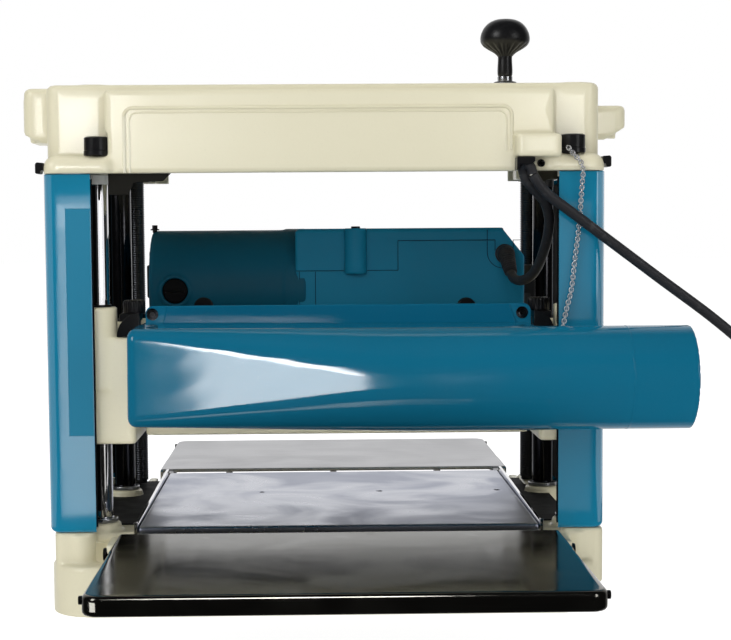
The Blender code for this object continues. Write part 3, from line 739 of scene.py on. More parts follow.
BASE_X = (-214.0, 202.0)
BASE_HALF = 146.0
DECK = 60.0
PAD_TOP = 62.7
POST_X = {"left": -184.0, "right": 182.0}
POST_Y = {"near": -112.0, "far": 52.0}
POSTS = [(x, y) for x in POST_X.values() for y in POST_Y.values()]
SCREW_X = {"left": -176.0, "right": 176.0}
SCREW_Y = 108.0
FOLD_Y = 165.0
FOLD_Z = 50.0
TABLE_TOP = 66.3
TABLE_START = 168.6
TABLE_SCREW_X = (-63.6, 139.1, 38)
TABLE_SCREW_Y = 24.5


def on(side, near, far):
    """The range between two distances from the middle, on the negative or the positive side of it."""
    return sorted((side * near, side * far))


def base_casting():
    """The base: a rounded block on ribs, with column pads, post bosses and hinge lugs."""
    c = Cast((-226, 208), (-176, 176), (-4, 72), 1.7)
    c.add(c.plate((BASE_X[0] - 6, BASE_X[1]), (-158, 158), (-20, 39), 34, 3))
    c.add(c.plate((BASE_X[0] + 14, BASE_X[1] - 14), (-130, 130), (-20, DECK), 8, 3), 3)
    for outer, inward in ((BASE_X[0] - 2.5, 1), (BASE_X[1], -1)):
        pad_x = sorted((outer, outer + inward * 31))
        for end in (-1, 1):
            c.add(c.plate(pad_x, on(end, 84, BASE_HALF - 1), (20, PAD_TOP), 7, 1), 2)
            pad_end = (outer + inward * 20, end * (BASE_HALF - 8))
            c.add(c.post(pad_end, 9.5, (20, PAD_TOP - 2), 1.2), 1.5)
    for at in POSTS:
        c.add(c.post(at, 15, (20, 66), 2), 3)
    for side in (-1, 1):
        for end in (-1, 1):
            lug_y = on(end, BASE_HALF - 12, FOLD_Y + 6)
            c.add(c.plate(on(side, 166, 174), lug_y, (42, 58), 2.5, 1.5), 5)
            c.cut(c.along_x((end * FOLD_Y, FOLD_Z), 4.4, on(side, 160, 180)), 0.5)
    for x in ((BASE_X[0] + 9, -4.5), (4.5, BASE_X[1] - 9)):
        for y in ((-BASE_HALF + 9, -4.5), (4.5, BASE_HALF - 9)):
            c.cut(c.plate(x, y, (-30, DECK - 8), 8, 5), 2)
    c.trim(-c.z)
    finish_piece(c.piece("base_body"), "cream_paint", "frame", "base_casting")
    for side, x in (("left", BASE_X[0]), ("right", BASE_X[1])):
        for end, y in (("near", -112), ("far", 112)):
            out = math.copysign(1, x)
            socket_screw(f"base_screw_{end}_{side}", (x - out * 1.4, y, 50), (out, 0, 0), 2.8, 1.4)
    for side, x in (("left", (-198, -159)), ("right", (159, 186))):
        tray = block(f"deck_sheet_{side}", x, (-96, 128), (59.6, 61.2), 0.5, 2)
        finish_piece(tray, "black_sheet", "frame")


def main_table():
    c = Cast((-156, 156), (-147, 147), (57, 69), 1.5)
    c.add(c.plate((-153, 153), (-143.7, 143.7), (60.3, TABLE_TOP), 1.2, 0.8))
    for x in TABLE_SCREW_X:
        c.cut(c.post((x, TABLE_SCREW_Y), 2.2, (64, 70), 0.2), 0.4)
    finish_piece(c.piece("main_table_plate"), "main_table_steel", "frame", "main_table")
    for x in TABLE_SCREW_X:
        socket_screw(f"table_screw_{x:.0f}", (x, TABLE_SCREW_Y, 64.2), (0, 0, 1), 1.9, 1.4)
    for side, name in ((-1, "left"), (1, "right")):
        strip = [(-145, 60.3), (145, 60.3), (145, 66), (141, 70.2), (-137, 67.6), (-140, 70.2), (-145, 70.2)]
        guide = prism(f"table_guide_strip_{name}", strip, "X", *on(side, 153.3, 155.8), 0.5)
        finish_piece(guide, "chrome", "frame", f"table_guide_{name}")


def extension_table(name, end, material):
    """A folding sheet table with a rolled edge, two hinge arms, and three stiffening ribs below."""
    wide = (-164.3, 164.3)
    c = Cast((-168, 168), on(end, 156, 389), (38, 70), 1.4)
    c.add(c.plate(wide, on(end, TABLE_START, 385.5), (52.5, TABLE_TOP), 12, 3.2))
    c.add(c.plate(wide, on(end, TABLE_START, 240), (52.5, TABLE_TOP), 2.5, 2), 0.4)
    c.cut(c.plate((-161.8, 161.8), on(end, 160, 383), (40, TABLE_TOP - 3.2), 9, 2), 1)
    for x in (-100, 0, 100):
        c.add(c.plate((x - 3, x + 3), on(end, 190, 382), (56, 65), 1.4, 1), 2)
    for side in (-1, 1):
        arm_y = on(end, FOLD_Y - 6.5, FOLD_Y + 25)
        c.add(c.plate(on(side, 150, 158), arm_y, (42.5, TABLE_TOP - 2), 1.8, 1.2), 2)
        c.cut(c.along_x((end * FOLD_Y, FOLD_Z), 4.35, on(side, 145, 163)), 0.4)
    finish_piece(c.piece(f"{name}_sheet"), material, name, name)
    for side in (-1, 1):
        socket_screw(f"{name}_stop_{side}", (side * 164.2, end * 372, 61.5), (side, 0, 0), 2.8, 2.4, name)


def hinge_rods():
    for name, end in (("outfeed", -1), ("infeed", 1)):
        bar = rod(f"hinge_pin_{name}", (-176, end * FOLD_Y, FOLD_Z), (1, 0, 0), 4, 352, 0.8)
        finish_piece(bar, "black_oxide", "frame", f"hinge_rod_{name}")
        for side in (-1, 1):
            at = (side * 174.3, end * FOLD_Y, FOLD_Z)
            socket_screw(f"hinge_screw_{name}_{side}", at, (side, 0, 0), 5, 2.4)


# ---------------------------------------------------------------- columns

POST_R = 9.0
CHAIN_R = 16.9
CHAIN_Z = 354.0
COVER_FACE = 147.0
COVER_LOW = 63.0
COVER_HIGH = 333.7
COVER_OUTER = {"left": -219.5, "right": 202.0}
COVER_INNER = {"near": {"left": -184.0, "right": 166.7}, "far": {"left": -177.0, "right": 177.0}}


def strip_sides(path, thickness):
    """The points beside a path in XY, on the left of the way along it."""
    sides = []
    for i, point in enumerate(path):
        ahead = (Vector(path[min(i + 1, len(path) - 1)]) - Vector(path[max(i - 1, 0)])).normalized()
        sides.append(tuple(Vector(point) + Vector((-ahead.y, ahead.x)) * thickness))
    return sides


def bent_strip(name, path, low, high, thickness, curl, top_curl=1.0):
    """A sheet that stands on a path in XY. Its bottom and top edges curl inwards, each round a radius."""
    turn = math.copysign(1, thickness)
    angles = [math.pi / 2 * i / 6 for i in range(7)]
    levels = [(low + curl * (1 - math.sin(a)), curl * (1 - math.cos(a))) for a in angles[::-1]]
    levels += [(high - top_curl * (1 - math.sin(a)), top_curl * (1 - math.cos(a))) for a in angles]
    rings = []
    for z, inset in levels:
        front = strip_sides(path, turn * inset)
        back = strip_sides(path, turn * inset + thickness)
        rings.append([(*p, z) for p in front + back[::-1]])
    return skin(name, rings)


def column_covers():
    """Bent blue covers round the outer corners of the columns, each with a black lining."""
    for end, sign in (("near", -1), ("far", 1)):
        for side, outer in COVER_OUTER.items():
            inward = 1 if side == "left" else -1
            corner = (outer + inward * 9, sign * (COVER_FACE - 9))
            start, stop = (180, 180 - sign * 90) if side == "left" else (0, sign * 90)
            bend = arc(corner, 9, start, stop, 12)
            path = [(outer, sign * (COVER_FACE - 85)), *bend, (COVER_INNER[end][side], sign * COVER_FACE)]
            turn = 1 if (side == "left") == (end == "near") else -1
            name = f"{end}_{side}"
            cover = bent_strip(f"column_cover_shell_{name}", path, COVER_LOW, COVER_HIGH, 1.8 * turn, 4.5)
            finish_piece(cover, "cover_blue", "frame", f"column_cover_{name}")
            inner = [(outer + inward * 1.9, sign * (COVER_FACE - 80)),
                     *arc(corner, 7.1, start, stop, 12),
                     (COVER_INNER[end][side] + inward * 1.2, sign * (COVER_FACE - 1.9))]
            lining = bent_strip(f"column_lining_{name}", inner, COVER_LOW + 4, COVER_HIGH - 4, 0.7 * turn, 1)
            finish_piece(lining, "black_sheet", "frame")
            for z in (80, 316):
                at = (outer + inward * 0.1, sign * (COVER_FACE - 70), z)
                socket_screw(f"cover_screw_{name}_{z}", at, (-inward, 0, 0), 3.2, 1.8)
    panel = block("blank_label_film", (-203, -184.4), (-147.25, -146.9), (137, 308), 0.1, 1)
    finish_piece(panel, "label_film", "frame")


def guide_posts():
    for end, y in POST_Y.items():
        for side, x in POST_X.items():
            name = f"{end}_{side}"
            # Only the near left post is plain chrome; the other three are painted near-black, as painted
            # shade and painted dark reflections.
            bright = name == "near_left"
            post = rod(f"guide_post_bar_{name}", (x, y, 66.3), (0, 0, 1), POST_R, 313, 0.8, 64)
            finish_piece(post, "chrome" if bright else "chrome_painted_dark", "frame", f"guide_post_{name}")
            at = (x, y, 326.5)
            collar = ring(f"post_collar_{name}", at, (0, 0, 1), POST_R + 0.02, POST_R + 0.32, 7, 0.1)
            finish_piece(collar, "white_plastic" if bright else "black_plastic", "frame")
            seat = ring(f"post_seat_{name}", (x, y, 66.1), (0, 0, 1), 9.1, 12.5, 3.2, 0.7)
            finish_piece(seat, "turned_steel", "frame")


def gear_outline(at, teeth, tip, root):
    outline = []
    for middle in turn_angles(teeth):
        for shift, r in ((-0.30, root), (-0.12, tip), (0.12, tip), (0.30, root)):
            x, y = polar(r, middle + shift * 2 * math.pi / teeth).xy
            outline.append((at[0] + x, at[1] + y))
    return outline


def lead_screws():
    for side, body, top in (("left", "left_screw", 378), ("right", "crank", 401.3)):
        at = (SCREW_X[side], SCREW_Y)
        parts = [threaded(f"thread_{side}", at, 66, 340, 7.0),
                 rod(f"screw_foot_{side}", (*at, 63), (0, 0, 1), 5.6, 4),
                 rod(f"screw_neck_{side}", (*at, 339.5), (0, 0, 1), 6.9, top - 339.5),
                 prism(f"chain_wheel_{side}", gear_outline(at, 14, 15.6, 12.6), "Z", 352.3, 355.7, 0.3, 2)]
        finish_piece(joined(f"lead_screw_cut_{side}", *parts), "screw_steel", body, f"lead_screw_{side}")


def band_point(share, radius):
    """A point on the chain's way round its two wheels, and its heading."""
    left, right = SCREW_X["left"], SCREW_X["right"]
    straight = right - left
    half = straight + math.pi * radius
    way = share * 2 * half
    back = way >= half
    way -= half if back else 0
    flip = math.pi if back else 0.0
    if way < straight:
        x = right - way if back else left + way
        return Vector((x, SCREW_Y)) + polar(radius, flip - math.pi / 2).xy, flip
    angle = flip + (way - straight) / radius
    return Vector((left if back else right, SCREW_Y)) + polar(radius, angle - math.pi / 2).xy, angle


def lift_chain():
    """The roller chain that links both lifting screws: side plates and rollers."""
    count = 128
    bm = bmesh.new()
    for i in range(count):
        (x, y), heading = band_point((i + 0.5) / count, CHAIN_R)
        place = Matrix.Translation(Vector((x, y, CHAIN_Z)) * MM) @ Matrix.Rotation(heading, 4, "Z")
        for z in (-2.1, 2.1) if i % 2 else (-3.1, 3.1):
            size = Matrix.Diagonal((8.6 * MM, 3.0 * MM, 0.8 * MM, 1))
            bmesh.ops.create_cube(bm, size=1, matrix=place @ Matrix.Translation((0, 0, z * MM)) @ size)
        (x, y), _ = band_point(i / count, CHAIN_R)
        bmesh.ops.create_cone(bm, cap_ends=True, segments=10, radius1=1.5 * MM, radius2=1.5 * MM,
                              depth=7.4 * MM, matrix=Matrix.Translation(Vector((x, y, CHAIN_Z)) * MM))
    finish_piece(from_bmesh("lift_chain_links", bm), "turned_steel", "frame", "lift_chain")


# ---------------------------------------------------------------- top casting

LEDGE_TOP = 347.0
TOP_BOTTOM = 334.0
TOP_TOP = 401.0
CAP_X = {"left": -179.5, "right": 177.7}
CAP_Y = -140.7


def top_casting():
    """The hollow top casting, with a raised front, its framed panel, ledges, cord pad and grips."""
    c = Cast((-250, 235), (-166, 154), (330, 404), 1.35)
    c.add(c.plate((-219, 200), (-130, 150), (300, TOP_TOP), 10, 5))
    c.add(c.plate((-173, 163.5), (-BASE_HALF - 1, 0), (300, 395.5), 4, 2.5), 2)
    c.add(c.plate((-219, -165), (-151, -100), (300, LEDGE_TOP), 10, 8), 2)
    c.add(c.plate((150, 201.5), (-151, -100), (300, LEDGE_TOP), 12, 9), 2)
    c.add(c.plate((133, 167), (-162, -140), (344, 361), 5, 2.2), 3)
    grip = np.minimum(c.plate((-247, -205), (-66, 66), (358.5, 399), 8, 5),
                      c.plate((-240, -205), (-105, -40), (358.5, 400.6), 8, 5))
    c.add(np.maximum(grip, 370 - 0.5 * (c.x + 249) - c.z), 4)
    c.add(c.plate((-236, -226), (-98, 60), (359, 376), 2.5, 1.5), 1.5)
    grip = np.maximum(c.plate((190, 232), (-66, 66), (361, 388), 8, 4), 361.5 + 0.6 * (c.x - 216) - c.z)
    c.add(grip, 4)
    c.add(c.plate((217, 225), (-60, 60), (361.5, 372), 2.5, 1.2), 1.5)
    c.cut(c.plate((-150, 110), (-92, 92), (399.4, 420), 14, 1), 1.5)
    for at in POSTS:
        c.add(c.post(at, 15, (TOP_TOP - 6, TOP_TOP - 0.2), 1), 2)
    ceiling = 392.5
    for x, y, top in (((-160, 160), (-120, 140), ceiling), ((-176, 176), (89, 127), 370),
                      ((150, 171.6), (-25, 62), ceiling), ((-171, 170), (-131, -95), 345),
                      ((-150, 172), (130, 165), 346)):
        c.cut(c.plate(x, y, (290, top), 4, 3), 1)
    c.cut(c.plate((-241, -223), (-58, 58), (340, 392), 5, 3), 1)
    c.cut(c.plate((206, 226), (-58, 58), (345, 381), 5, 3), 1)
    for at in POSTS:
        c.cut(c.post(at, 9.4, (300, 386)), 0.5)
    for x in SCREW_X.values():
        c.cut(c.post((x, SCREW_Y), 20, (300, 390), 2), 1)
    for x in CAP_X.values():
        c.cut(c.post((x, CAP_Y), 10.3, (LEDGE_TOP, LEDGE_TOP + 17), 1.5), 1)
    c.cut(c.post((SCREW_X["right"], SCREW_Y), 7.8, (380, 420)), 0.5)
    c.trim(TOP_BOTTOM - c.z)
    finish_piece(c.piece("top_casting"), "cream_paint", "frame", "top_frame")
    outline = [(-158, 334.2), (-158, 376), *arc((-151.5, 375.5), 6.5, 180, 90),
               *arc((124.5, 375.5), 6.5, 90, 0), (131, 350)]
    bead = swept("top_panel_bead", [Vector((x, -147.0, z)) for x, z in outline], 1.3, 16)
    smaller = [Vector((-13.5 + (x + 13.5) * 0.973, -146.65, 334.2 + (z - 334.2) * 0.93)) for x, z in outline]
    line = swept("top_panel_line", smaller, 0.8, 12)
    finish_piece(joined("top_panel_frame", bead, line), "cream_paint", "frame")


def top_trim():
    for side, x in CAP_X.items():
        cap = [(0, 14), (7.6, 14), (9.2, 13.2), (9.2, 4.2), (8.9, 3.9), (9.5, 3.5), (9.5, 0), (0, 0)]

        def wide(height, angle):
            return 1 - (0.012 if height > 4 else 0.0) * (0.5 + 0.5 * math.cos(24 * angle))
        knob = turned(f"ledge_cap_turned_{side}", cap, (x, CAP_Y, LEDGE_TOP + 0.3), sides=96, wave=wide)
        finish_piece(bevelled(knob, 0.35, 2), "black_plastic", "frame", f"ledge_cap_{side}")
    for side, outer, inner, z in (("left", -225.5, -219.3, 334), ("right", 206.8, 200.3, 336.6)):
        out = math.copysign(1, outer)
        shape = [(inner, z + 2.4), (inner, z + 8.2), (outer - out * 1.2, z + 8.6), (outer, z + 7.4),
                 (outer, z + 0.8), (outer - out * 1, z), (outer - out * 3.6, z), (outer - out * 4.2, z + 2.4)]
        hook = prism(f"side_hook_bent_{side}", shape, "Y", -142, -128, 0.6)
        finish_piece(hook, "black_plastic", "frame", f"side_hook_{side}")


def cord_clip():
    """The clip that holds the cord under its pad, with its screw and the cord's turn inside it."""
    saddle = [(133.2, 343.6), (146.8, 343.6), (146.8, 340.5), (144, 338.3), (140, 337.6), (136, 338.3),
              (134.6, 335), (133.2, 333.4)]
    clip = prism("cord_clip_saddle", saddle, "Y", -161.6, -147.6, 0.6)
    finish_piece(clip, "black_plastic", "frame", "cord_clip")
    route = [(139.4, -151.6, 331.6), (138.6, -153, 336), (140.6, -156, 338.8), (143.8, -157.6, 336.2),
             (145.4, -157.8, 331.2)]
    finish_piece(swept("cord_clip_end", smooth_line(route, 1.2), 3.85, 16), "rubber", "frame")
    socket_screw("cord_clip_screw", (152.6, -149.8, 339.4), (0, -1, 0), 2.2, 3.0, washer=2.9)


def under_brackets():
    """The plates under the top casting that carry the column covers."""
    left = [(-171, 333.8), (-124, 333.8), (-130, 328), (-152, 327), (-156, 318), (-171, 318)]
    right = [(146, 333.8), (166, 333.8), (166, 328), (158, 327), (150, 322), (150, 326)]
    # The left plate is painted near-black as painted shade; the right one keeps the olive zinc colour.
    for side, shape, material in (("left", left, "shaded_sheet"), ("right", right, "zinc_bracket")):
        finish_piece(prism(f"under_bracket_{side}", shape, "Y", -142.8, -140.8, 0.5), material, "frame")


def switch():
    c = Cast((-114, -46), (148, 178), (348, 400), 1.0)
    c.add(c.plate((-110, -50), (150.3, 172), (352, 396), 4, 3))
    c.cut(c.plate((-100, -60), (168, 190), (360, 388), 2, 1), 0.8)
    finish_piece(c.piece("switch_housing"), "black_plastic", "frame", "switch_box")
    shape = [(174.5, 362.4), (178, 362.4), (181, 363.5), (179.4, 374), (181, 384.5), (178, 385.6),
             (174.5, 385.6)]
    rocker = prism("switch_rocker_button", shape, "X", -98, -62, 0.8)
    finish_piece(rocker, "black_plastic", "switch", "switch_rocker")
    pivot = rod("switch_pivot", (-99, 174.8, 374), (1, 0, 0), 2.6, 38)
    finish_piece(pivot, "black_oxide", "frame")
    for x in (-105, -55):
        socket_screw(f"switch_screw_{-x}", (x, 171.6, 356), (0, 1, 0), 2.2, 1.4)


def height_gauge():
    scale = block("height_scale_plate", (-187, -179), (147.3, 148.2), (95, 330), 0.3, 2)
    finish_piece(scale, "gauge_marks", "frame", "height_scale")
    shape = [(-174, 168), (-166, 168), (-166, 172), (-174, 172), (-176.5, 170)]
    blade = prism("scale_pointer_blade", shape, "Y", 125.3, 149.5, 0.3)
    finish_piece(blade, "black_plastic", "head", "scale_pointer")


# ---------------------------------------------------------------- crank

CRANK_X = 144.0
CRANK_Y = 10.0


def crank():
    c = Cast((124, 196), (-6, 128), (398, 422), 1.0)
    hub = (SCREW_X["right"], SCREW_Y)
    c.add(c.post(hub, 14, (401.6, 413.6), 2))
    c.add(c.post((CRANK_X, CRANK_Y), 10, (401.6, 413.6), 2), 2)
    ahead = Vector((hub[0] - CRANK_X, hub[1] - CRANK_Y))
    way = ((c.x - CRANK_X) * ahead.x + (c.y - CRANK_Y) * ahead.y) / ahead.length
    across = np.abs((c.x - CRANK_X) * ahead.y - (c.y - CRANK_Y) * ahead.x) / ahead.length
    web = np.maximum(across - 8.2 - 0.03 * way, span(way, (0, ahead.length)))
    c.add(c.swept_up(web, (402.2, 412), 2), 3)
    c.cut(c.swept_up(np.maximum(across - 4.6, np.abs(way - ahead.length / 2) - 32), (408.5, 430), 1), 1.2)
    finish_piece(c.piece("crank_arm_casting"), "cast_aluminium", "crank", "crank_arm")
    collar = ring("crank_spindle_collar", (CRANK_X, CRANK_Y, 413.4), (0, 0, 1), 2.0, 6.3, 4.4)
    finish_piece(collar, "turned_steel", "crank")
    socket_screw("crank_hub_screw", (*hub, 413.4), (0, 0, 1), 5.5, 4.2, "crank", washer=8.5)

    knob = [(0, 0), (5.9, 0), (5.9, 14.5), (6.6, 16.6), (9.4, 19.2), (14.2, 22), (18, 24.6), (20.0, 27.2),
            (20.6, 30), (20.3, 33.4), (19.1, 37), (16.9, 40.6), (13.5, 43.8), (9, 46), (4.5, 46.8), (0, 47)]

    def ribs(height, angle):
        depth = 0.0 if height > 27 else min(1.0, max(0.0, (height - 15) / 4)) * min(1.0, (27 - height) / 3)
        return 1 - 0.085 * depth * (0.5 - 0.5 * math.cos(18 * angle)) ** 2
    smooth = [(max(p.x, 0), p.y) for p in smooth_line([(r, h, 0) for r, h in knob], 0.9)]
    fine = [knob[0], *smooth[1:-1], knob[-1]]
    body = turned("crank_knob_moulded", fine, (CRANK_X, CRANK_Y, 418.3), sides=144, wave=ribs)
    finish_piece(body, "black_plastic", "crank_grip", "crank_knob")


# ---------------------------------------------------------------- cutter head

DRUM_Z = 154.0
MOTOR_Y = 38.0
MOTOR_Z = 241.0
BRUSH_CAP_X = -132.9
ROLLER_Y = {"outfeed": -45, "infeed": 45}
ROLLER_Z = 140.0
SIDE_OUTER = {"left": -206.0, "right": 197.0}
SIDE_TOP = 210.0
HEAD_BOTTOM = 127.7


def carriage(side):
    """One cast side of the head, with bosses for its posts and nut."""
    sign = -1 if side == "left" else 1
    x = sorted((sign * 155, SIDE_OUTER[side]))
    c = Cast((x[0] - 4, x[1] + 4), (-128, 132), (124, 236), 1.3)
    c.add(c.plate(x, (-125, 125), (HEAD_BOTTOM, SIDE_TOP), 5, 2.5))
    for end, radius, top in (("near", 14.5, 233), ("far", 10.7, 214)):
        at = (POST_X[side], POST_Y[end])
        c.add(c.post(at, radius, (170, top), 1.6), 5)
    c.add(c.post((SCREW_X[side], SCREW_Y), 13, (170, 213), 2), 5)
    pocket_x = sorted((SIDE_OUTER[side] + sign * 5, SIDE_OUTER[side] - sign * 3))
    for y in ((-82, 25), (72, 92)):
        c.cut(c.plate(pocket_x, y, (138, 200), 3, 2), 2)
    for y in POST_Y.values():
        c.cut(c.post((POST_X[side], y), 9.5, (90, 250)), 0.6)
    c.cut(c.post((SCREW_X[side], SCREW_Y), 7.4, (90, 250)), 0.6)
    for y in ROLLER_Y.values():
        c.cut(c.along_x((y, ROLLER_Z), 6.3, on(sign, 145, 163)), 0.5)
    c.cut(c.along_x((0, DRUM_Z), 16.3, on(sign, 145, 173 if side == "left" else 178)), 0.5)
    if side == "right":
        ahead = Vector((MOTOR_Y, MOTOR_Z - DRUM_Z))
        way = np.clip((c.y * ahead.x + (c.z - DRUM_Z) * ahead.y) / ahead.length_squared, 0, 1)
        chamber = np.hypot(c.y - way * ahead.x, c.z - DRUM_Z - way * ahead.y) - 18
        c.cut(np.maximum(chamber, np.abs(c.x - 163.4) - 5), 0.5)
    finish_piece(c.piece(f"carriage_casting_{side}"), "cream_paint", "head", f"carriage_{side}")
    for end, y in POST_Y.items():
        at = (POST_X[side], y, 231.5 if end == "near" else 212.5)
        bush = ring(f"post_bush_{end}_{side}", at, (0, 0, 1), 9.42, 10.4, 3.2, 0.3)
        finish_piece(bush, "black_plastic", "head")
    nut = ring(f"screw_nut_{side}", (SCREW_X[side], SCREW_Y, 211), (0, 0, 1), 7.3, 10.5, 6, 0.8)
    finish_piece(nut, "black_oxide", "head")


def head_bridge():
    c = Cast((-158, 158), (-84, 84), (125, 194), 1.5)
    c.add(c.plate((-154.7, 154.7), (-80, 80), (135, 190), 3, 2))
    c.cut(c.plate((-160, 160), (-72, 72), (100, 184), 3, 4), 1)
    c.cut(c.plate((-140, 140), (-90, -60), (152, 180), 3, 3), 1)
    c.add(c.plate((-152, 152), (-80, -73), (129, 150), 2, 1.5), 1)
    for x in (-110, -55, 0, 55, 110):
        c.add(c.plate((x - 2.5, x + 2.5), (-78, 78), (184, 193), 2, 1), 2)
    c.trim(c.z - 192)
    finish_piece(c.piece("head_bridge_casting"), "cream_paint", "head", "head_bridge")


def cutterhead():
    profile = [(0, 0), (10, 0), (10, 14), (24, 14), (24, 318), (10, 318), (10, 325.5), (14, 325.5), (14, 333),
               (10, 333), (10, 343), (0, 343)]
    drum = turned("cutter_drum_turned", rounded(profile, 0.8), (-166, 0, DRUM_Z), (1, 0, 0), 96)
    finish_piece(drum, "turned_steel", "cutterhead", "cutter_drum")
    for number, end in ((1, -1), (2, 1)):
        wedge_z = sorted((DRUM_Z + end * 1.6, DRUM_Z + end * 9))
        wedge = block(f"knife_clamp_{number}", (-150, 150), on(end, 13, 23.8), wedge_z, 1.0)
        finish_piece(wedge, "black_oxide", "cutterhead")
        edge = [(end * 12.3, DRUM_Z - 1.5), (end * 25.5, DRUM_Z - 1.5), (end * 28, DRUM_Z + 1.5),
                (end * 12.3, DRUM_Z + 1.5)]
        blade = prism(f"knife_blade_{number}", edge, "X", -153, 153, 0.1, 1)
        finish_piece(blade, "chrome", "cutterhead", f"knife_{number}")
        for x in range(-125, 126, 50):
            at = (x, end * 23.2, DRUM_Z + end * 6.5)
            socket_screw(f"knife_screw_{number}_{x + 200}", at, (0, end, 0), 3.4, 1.6, "cutterhead")


def feed_rollers():
    profile = [(0, 0), (6, 0), (6, 10), (15, 10), (15, 310), (6, 310), (6, 320), (0, 320)]
    for name, y in ROLLER_Y.items():
        core = turned(f"feed_roller_{name}_sleeve", rounded(profile, 1.0), (-160, y, ROLLER_Z), (1, 0, 0), 72)
        finish_piece(core, "roller_rubber", f"{name}_roller", f"feed_roller_{name}")


def bearings():
    for side, x in (("left", -165.6), ("right", 168.7)):
        races = [ring(f"race_outer_{side}", (x, 0, DRUM_Z), (1, 0, 0), 13.6, 16, 8, 0.6),
                 ring(f"race_inner_{side}", (x, 0, DRUM_Z), (1, 0, 0), 10.3, 12.2, 8, 0.4),
                 ring(f"race_shield_{side}", (x + 0.6, 0, DRUM_Z), (1, 0, 0), 12.1, 13.7, 6.8, 0.2)]
        finish_piece(joined(f"bearing_rings_{side}", *races), "chrome", "head", f"bearing_{side}")


def armature():
    profile = [(0, 7), (8, 7), (8, 15), (16, 15), (16, 37), (30, 43), (30, 110), (8, 110), (8, 135),
               (36, 135), (36, 155), (8, 155), (8, 314), (12, 314), (12, 322.5), (0, 322.5)]

    def blades(height, angle):
        return 1 - (0.10 * (0.5 + 0.5 * math.cos(18 * angle)) if 134 < height < 156 else 0)
    at = (-155, MOTOR_Y, MOTOR_Z)
    shaft = turned("motor_armature_turned", rounded(profile, 0.8), at, (1, 0, 0), 108, blades)
    finish_piece(shaft, "turned_steel", "armature", "motor_armature")


def belt_line(drum_r, motor_r, steps=16):
    """The outline round the drum's pulley and the motor's pulley, in YZ."""
    between = Vector((MOTOR_Y, MOTOR_Z - DRUM_Z))
    heading = math.degrees(math.atan2(between.y, between.x))
    lean = math.degrees(math.acos((drum_r - motor_r) / between.length))
    return (arc((0, DRUM_Z), drum_r, heading + lean, heading + 360 - lean, steps)
            + arc((MOTOR_Y, MOTOR_Z), motor_r, heading - lean, heading + lean, steps))


def drive_belt():
    inside, outside = belt_line(14.3, 12.3), belt_line(16.2, 14.2)
    corners = ((159, inside), (159, outside), (167, outside), (167, inside))
    rings = [[(x, y, z) for y, z in line] for x, line in corners]
    band = bevelled(skin("drive_belt_band", rings, ends="joined"), 0.4, 2)
    finish_piece(band, "rubber", "head", "drive_belt")


def belt_cover():
    """A closed cover over the belt's upper end: a flat face with a raised middle, and a wall round it."""
    bottom = SIDE_TOP + 0.3
    bend = [p for p in belt_line(20.5, 19) if p[1] > bottom]
    low_left = min(bend, key=lambda p: p[0] + p[1])
    low_right = max(bend, key=lambda p: p[0] - p[1])
    outline = hull([(low_left[0] - 2, bottom), (low_right[0], bottom)] + bend)

    def scaled(share):
        return [((y - 20) * share + 20, (z - 232) * share + 232) for y, z in outline]
    cover = prism("belt_cover_moulded", outline, "X", 168.5, 171, 0.8)
    rim = prism("belt_cover_rim", scaled(0.8), "X", 170.2, 171.4, 0.5)
    finish_piece(joined("belt_cover_shell", cover, rim), "black_plastic", "head", "belt_cover")
    corners = ((158.7, 1), (169, 1), (169, 0.93), (158.7, 0.93))
    rings = [[(x, y, z) for y, z in scaled(share)] for x, share in corners]
    finish_piece(skin("belt_cover_wall", rings, ends="joined"), "black_plastic", "head")


def motor():
    """The motor's can with a domed rim and vents, its brush cap, and the screws on it."""
    c = Cast((-158, -24), (-16, 92), (187, 300), 1.2)
    c.add(c.along_x((MOTOR_Y, MOTOR_Z), 50, (-155, -20), 4))
    c.add(c.along_x((MOTOR_Y, MOTOR_Z), 50.8, (-42, -24), 1), 2)
    c.cut(c.along_x((MOTOR_Y, MOTOR_Z), 46, (-150, -10)), 0.5)
    from_cap = np.hypot(c.x - BRUSH_CAP_X, c.z - MOTOR_Z)
    c.add(np.maximum(from_cap - 13.2, np.abs(c.y + 4) - 8.5), 2.5)
    c.cut(np.maximum(from_cap - 10.6, c.y + 3), 0.8)
    for angle in turn_angles(7):
        hole = np.hypot(c.y - MOTOR_Y - 27 * math.cos(angle), c.z - MOTOR_Z - 27 * math.sin(angle)) - 6
        c.cut(np.maximum(hole, c.x + 148), 0.8)
    finish_piece(c.piece("motor_can_moulded"), "motor_blue", "head", "motor_can")
    cap = turned("brush_cap_disc", rounded([(0, 0), (10.2, 0), (10.2, 5), (9.2, 6), (0, 6)], 0.6),
                 (BRUSH_CAP_X, -6.5, MOTOR_Z), (0, -1, 0), 64)
    finish_piece(cap, "black_sheet", "head", "brush_cap")
    slot = block("brush_cap_slot", (-141, -124.8), (-13.0, -12.2), (239.9, 242.1), 0.3, 2)
    finish_piece(slot, "black_oxide", "head")
    stud = [(0, 0), (1.9, 0), (1.9, 2.2), (3.7, 2.2), (3.7, 3.4), (2.3, 3.4), (2.3, 6.6), (0, 6.6)]
    stud = turned("motor_top_stud", rounded(stud, 0.3), (-152.6, 30, 289.2), sides=32)
    finish_piece(stud, "black_oxide", "head")
    for y, z in ((8, 271), (68, 271), (8, 211), (68, 211)):
        socket_screw(f"motor_end_bolt_{y}_{z}", (-154.4, y, z), (-1, 0, 0), 2.4, 1.0, "head")
    lead_box = block("motor_lead_box", (-159.3, -155.4), (22, 62), (234, 262), 1.5)
    finish_piece(lead_box, "black_plastic", "head")
    for name, x, y, z in (("left", -109.3, -8, 228), ("right", 109.2, -11, 225.8)):
        profile = rounded([(0, 0), (8.2, 0), (8.2, 3), (7.2, 4.4), (0, 4.4)], 0.5)
        finish_piece(turned(f"case_plug_{name}", profile, (x, y, z), (0, -1, 0), 48), "black_plastic", "head")


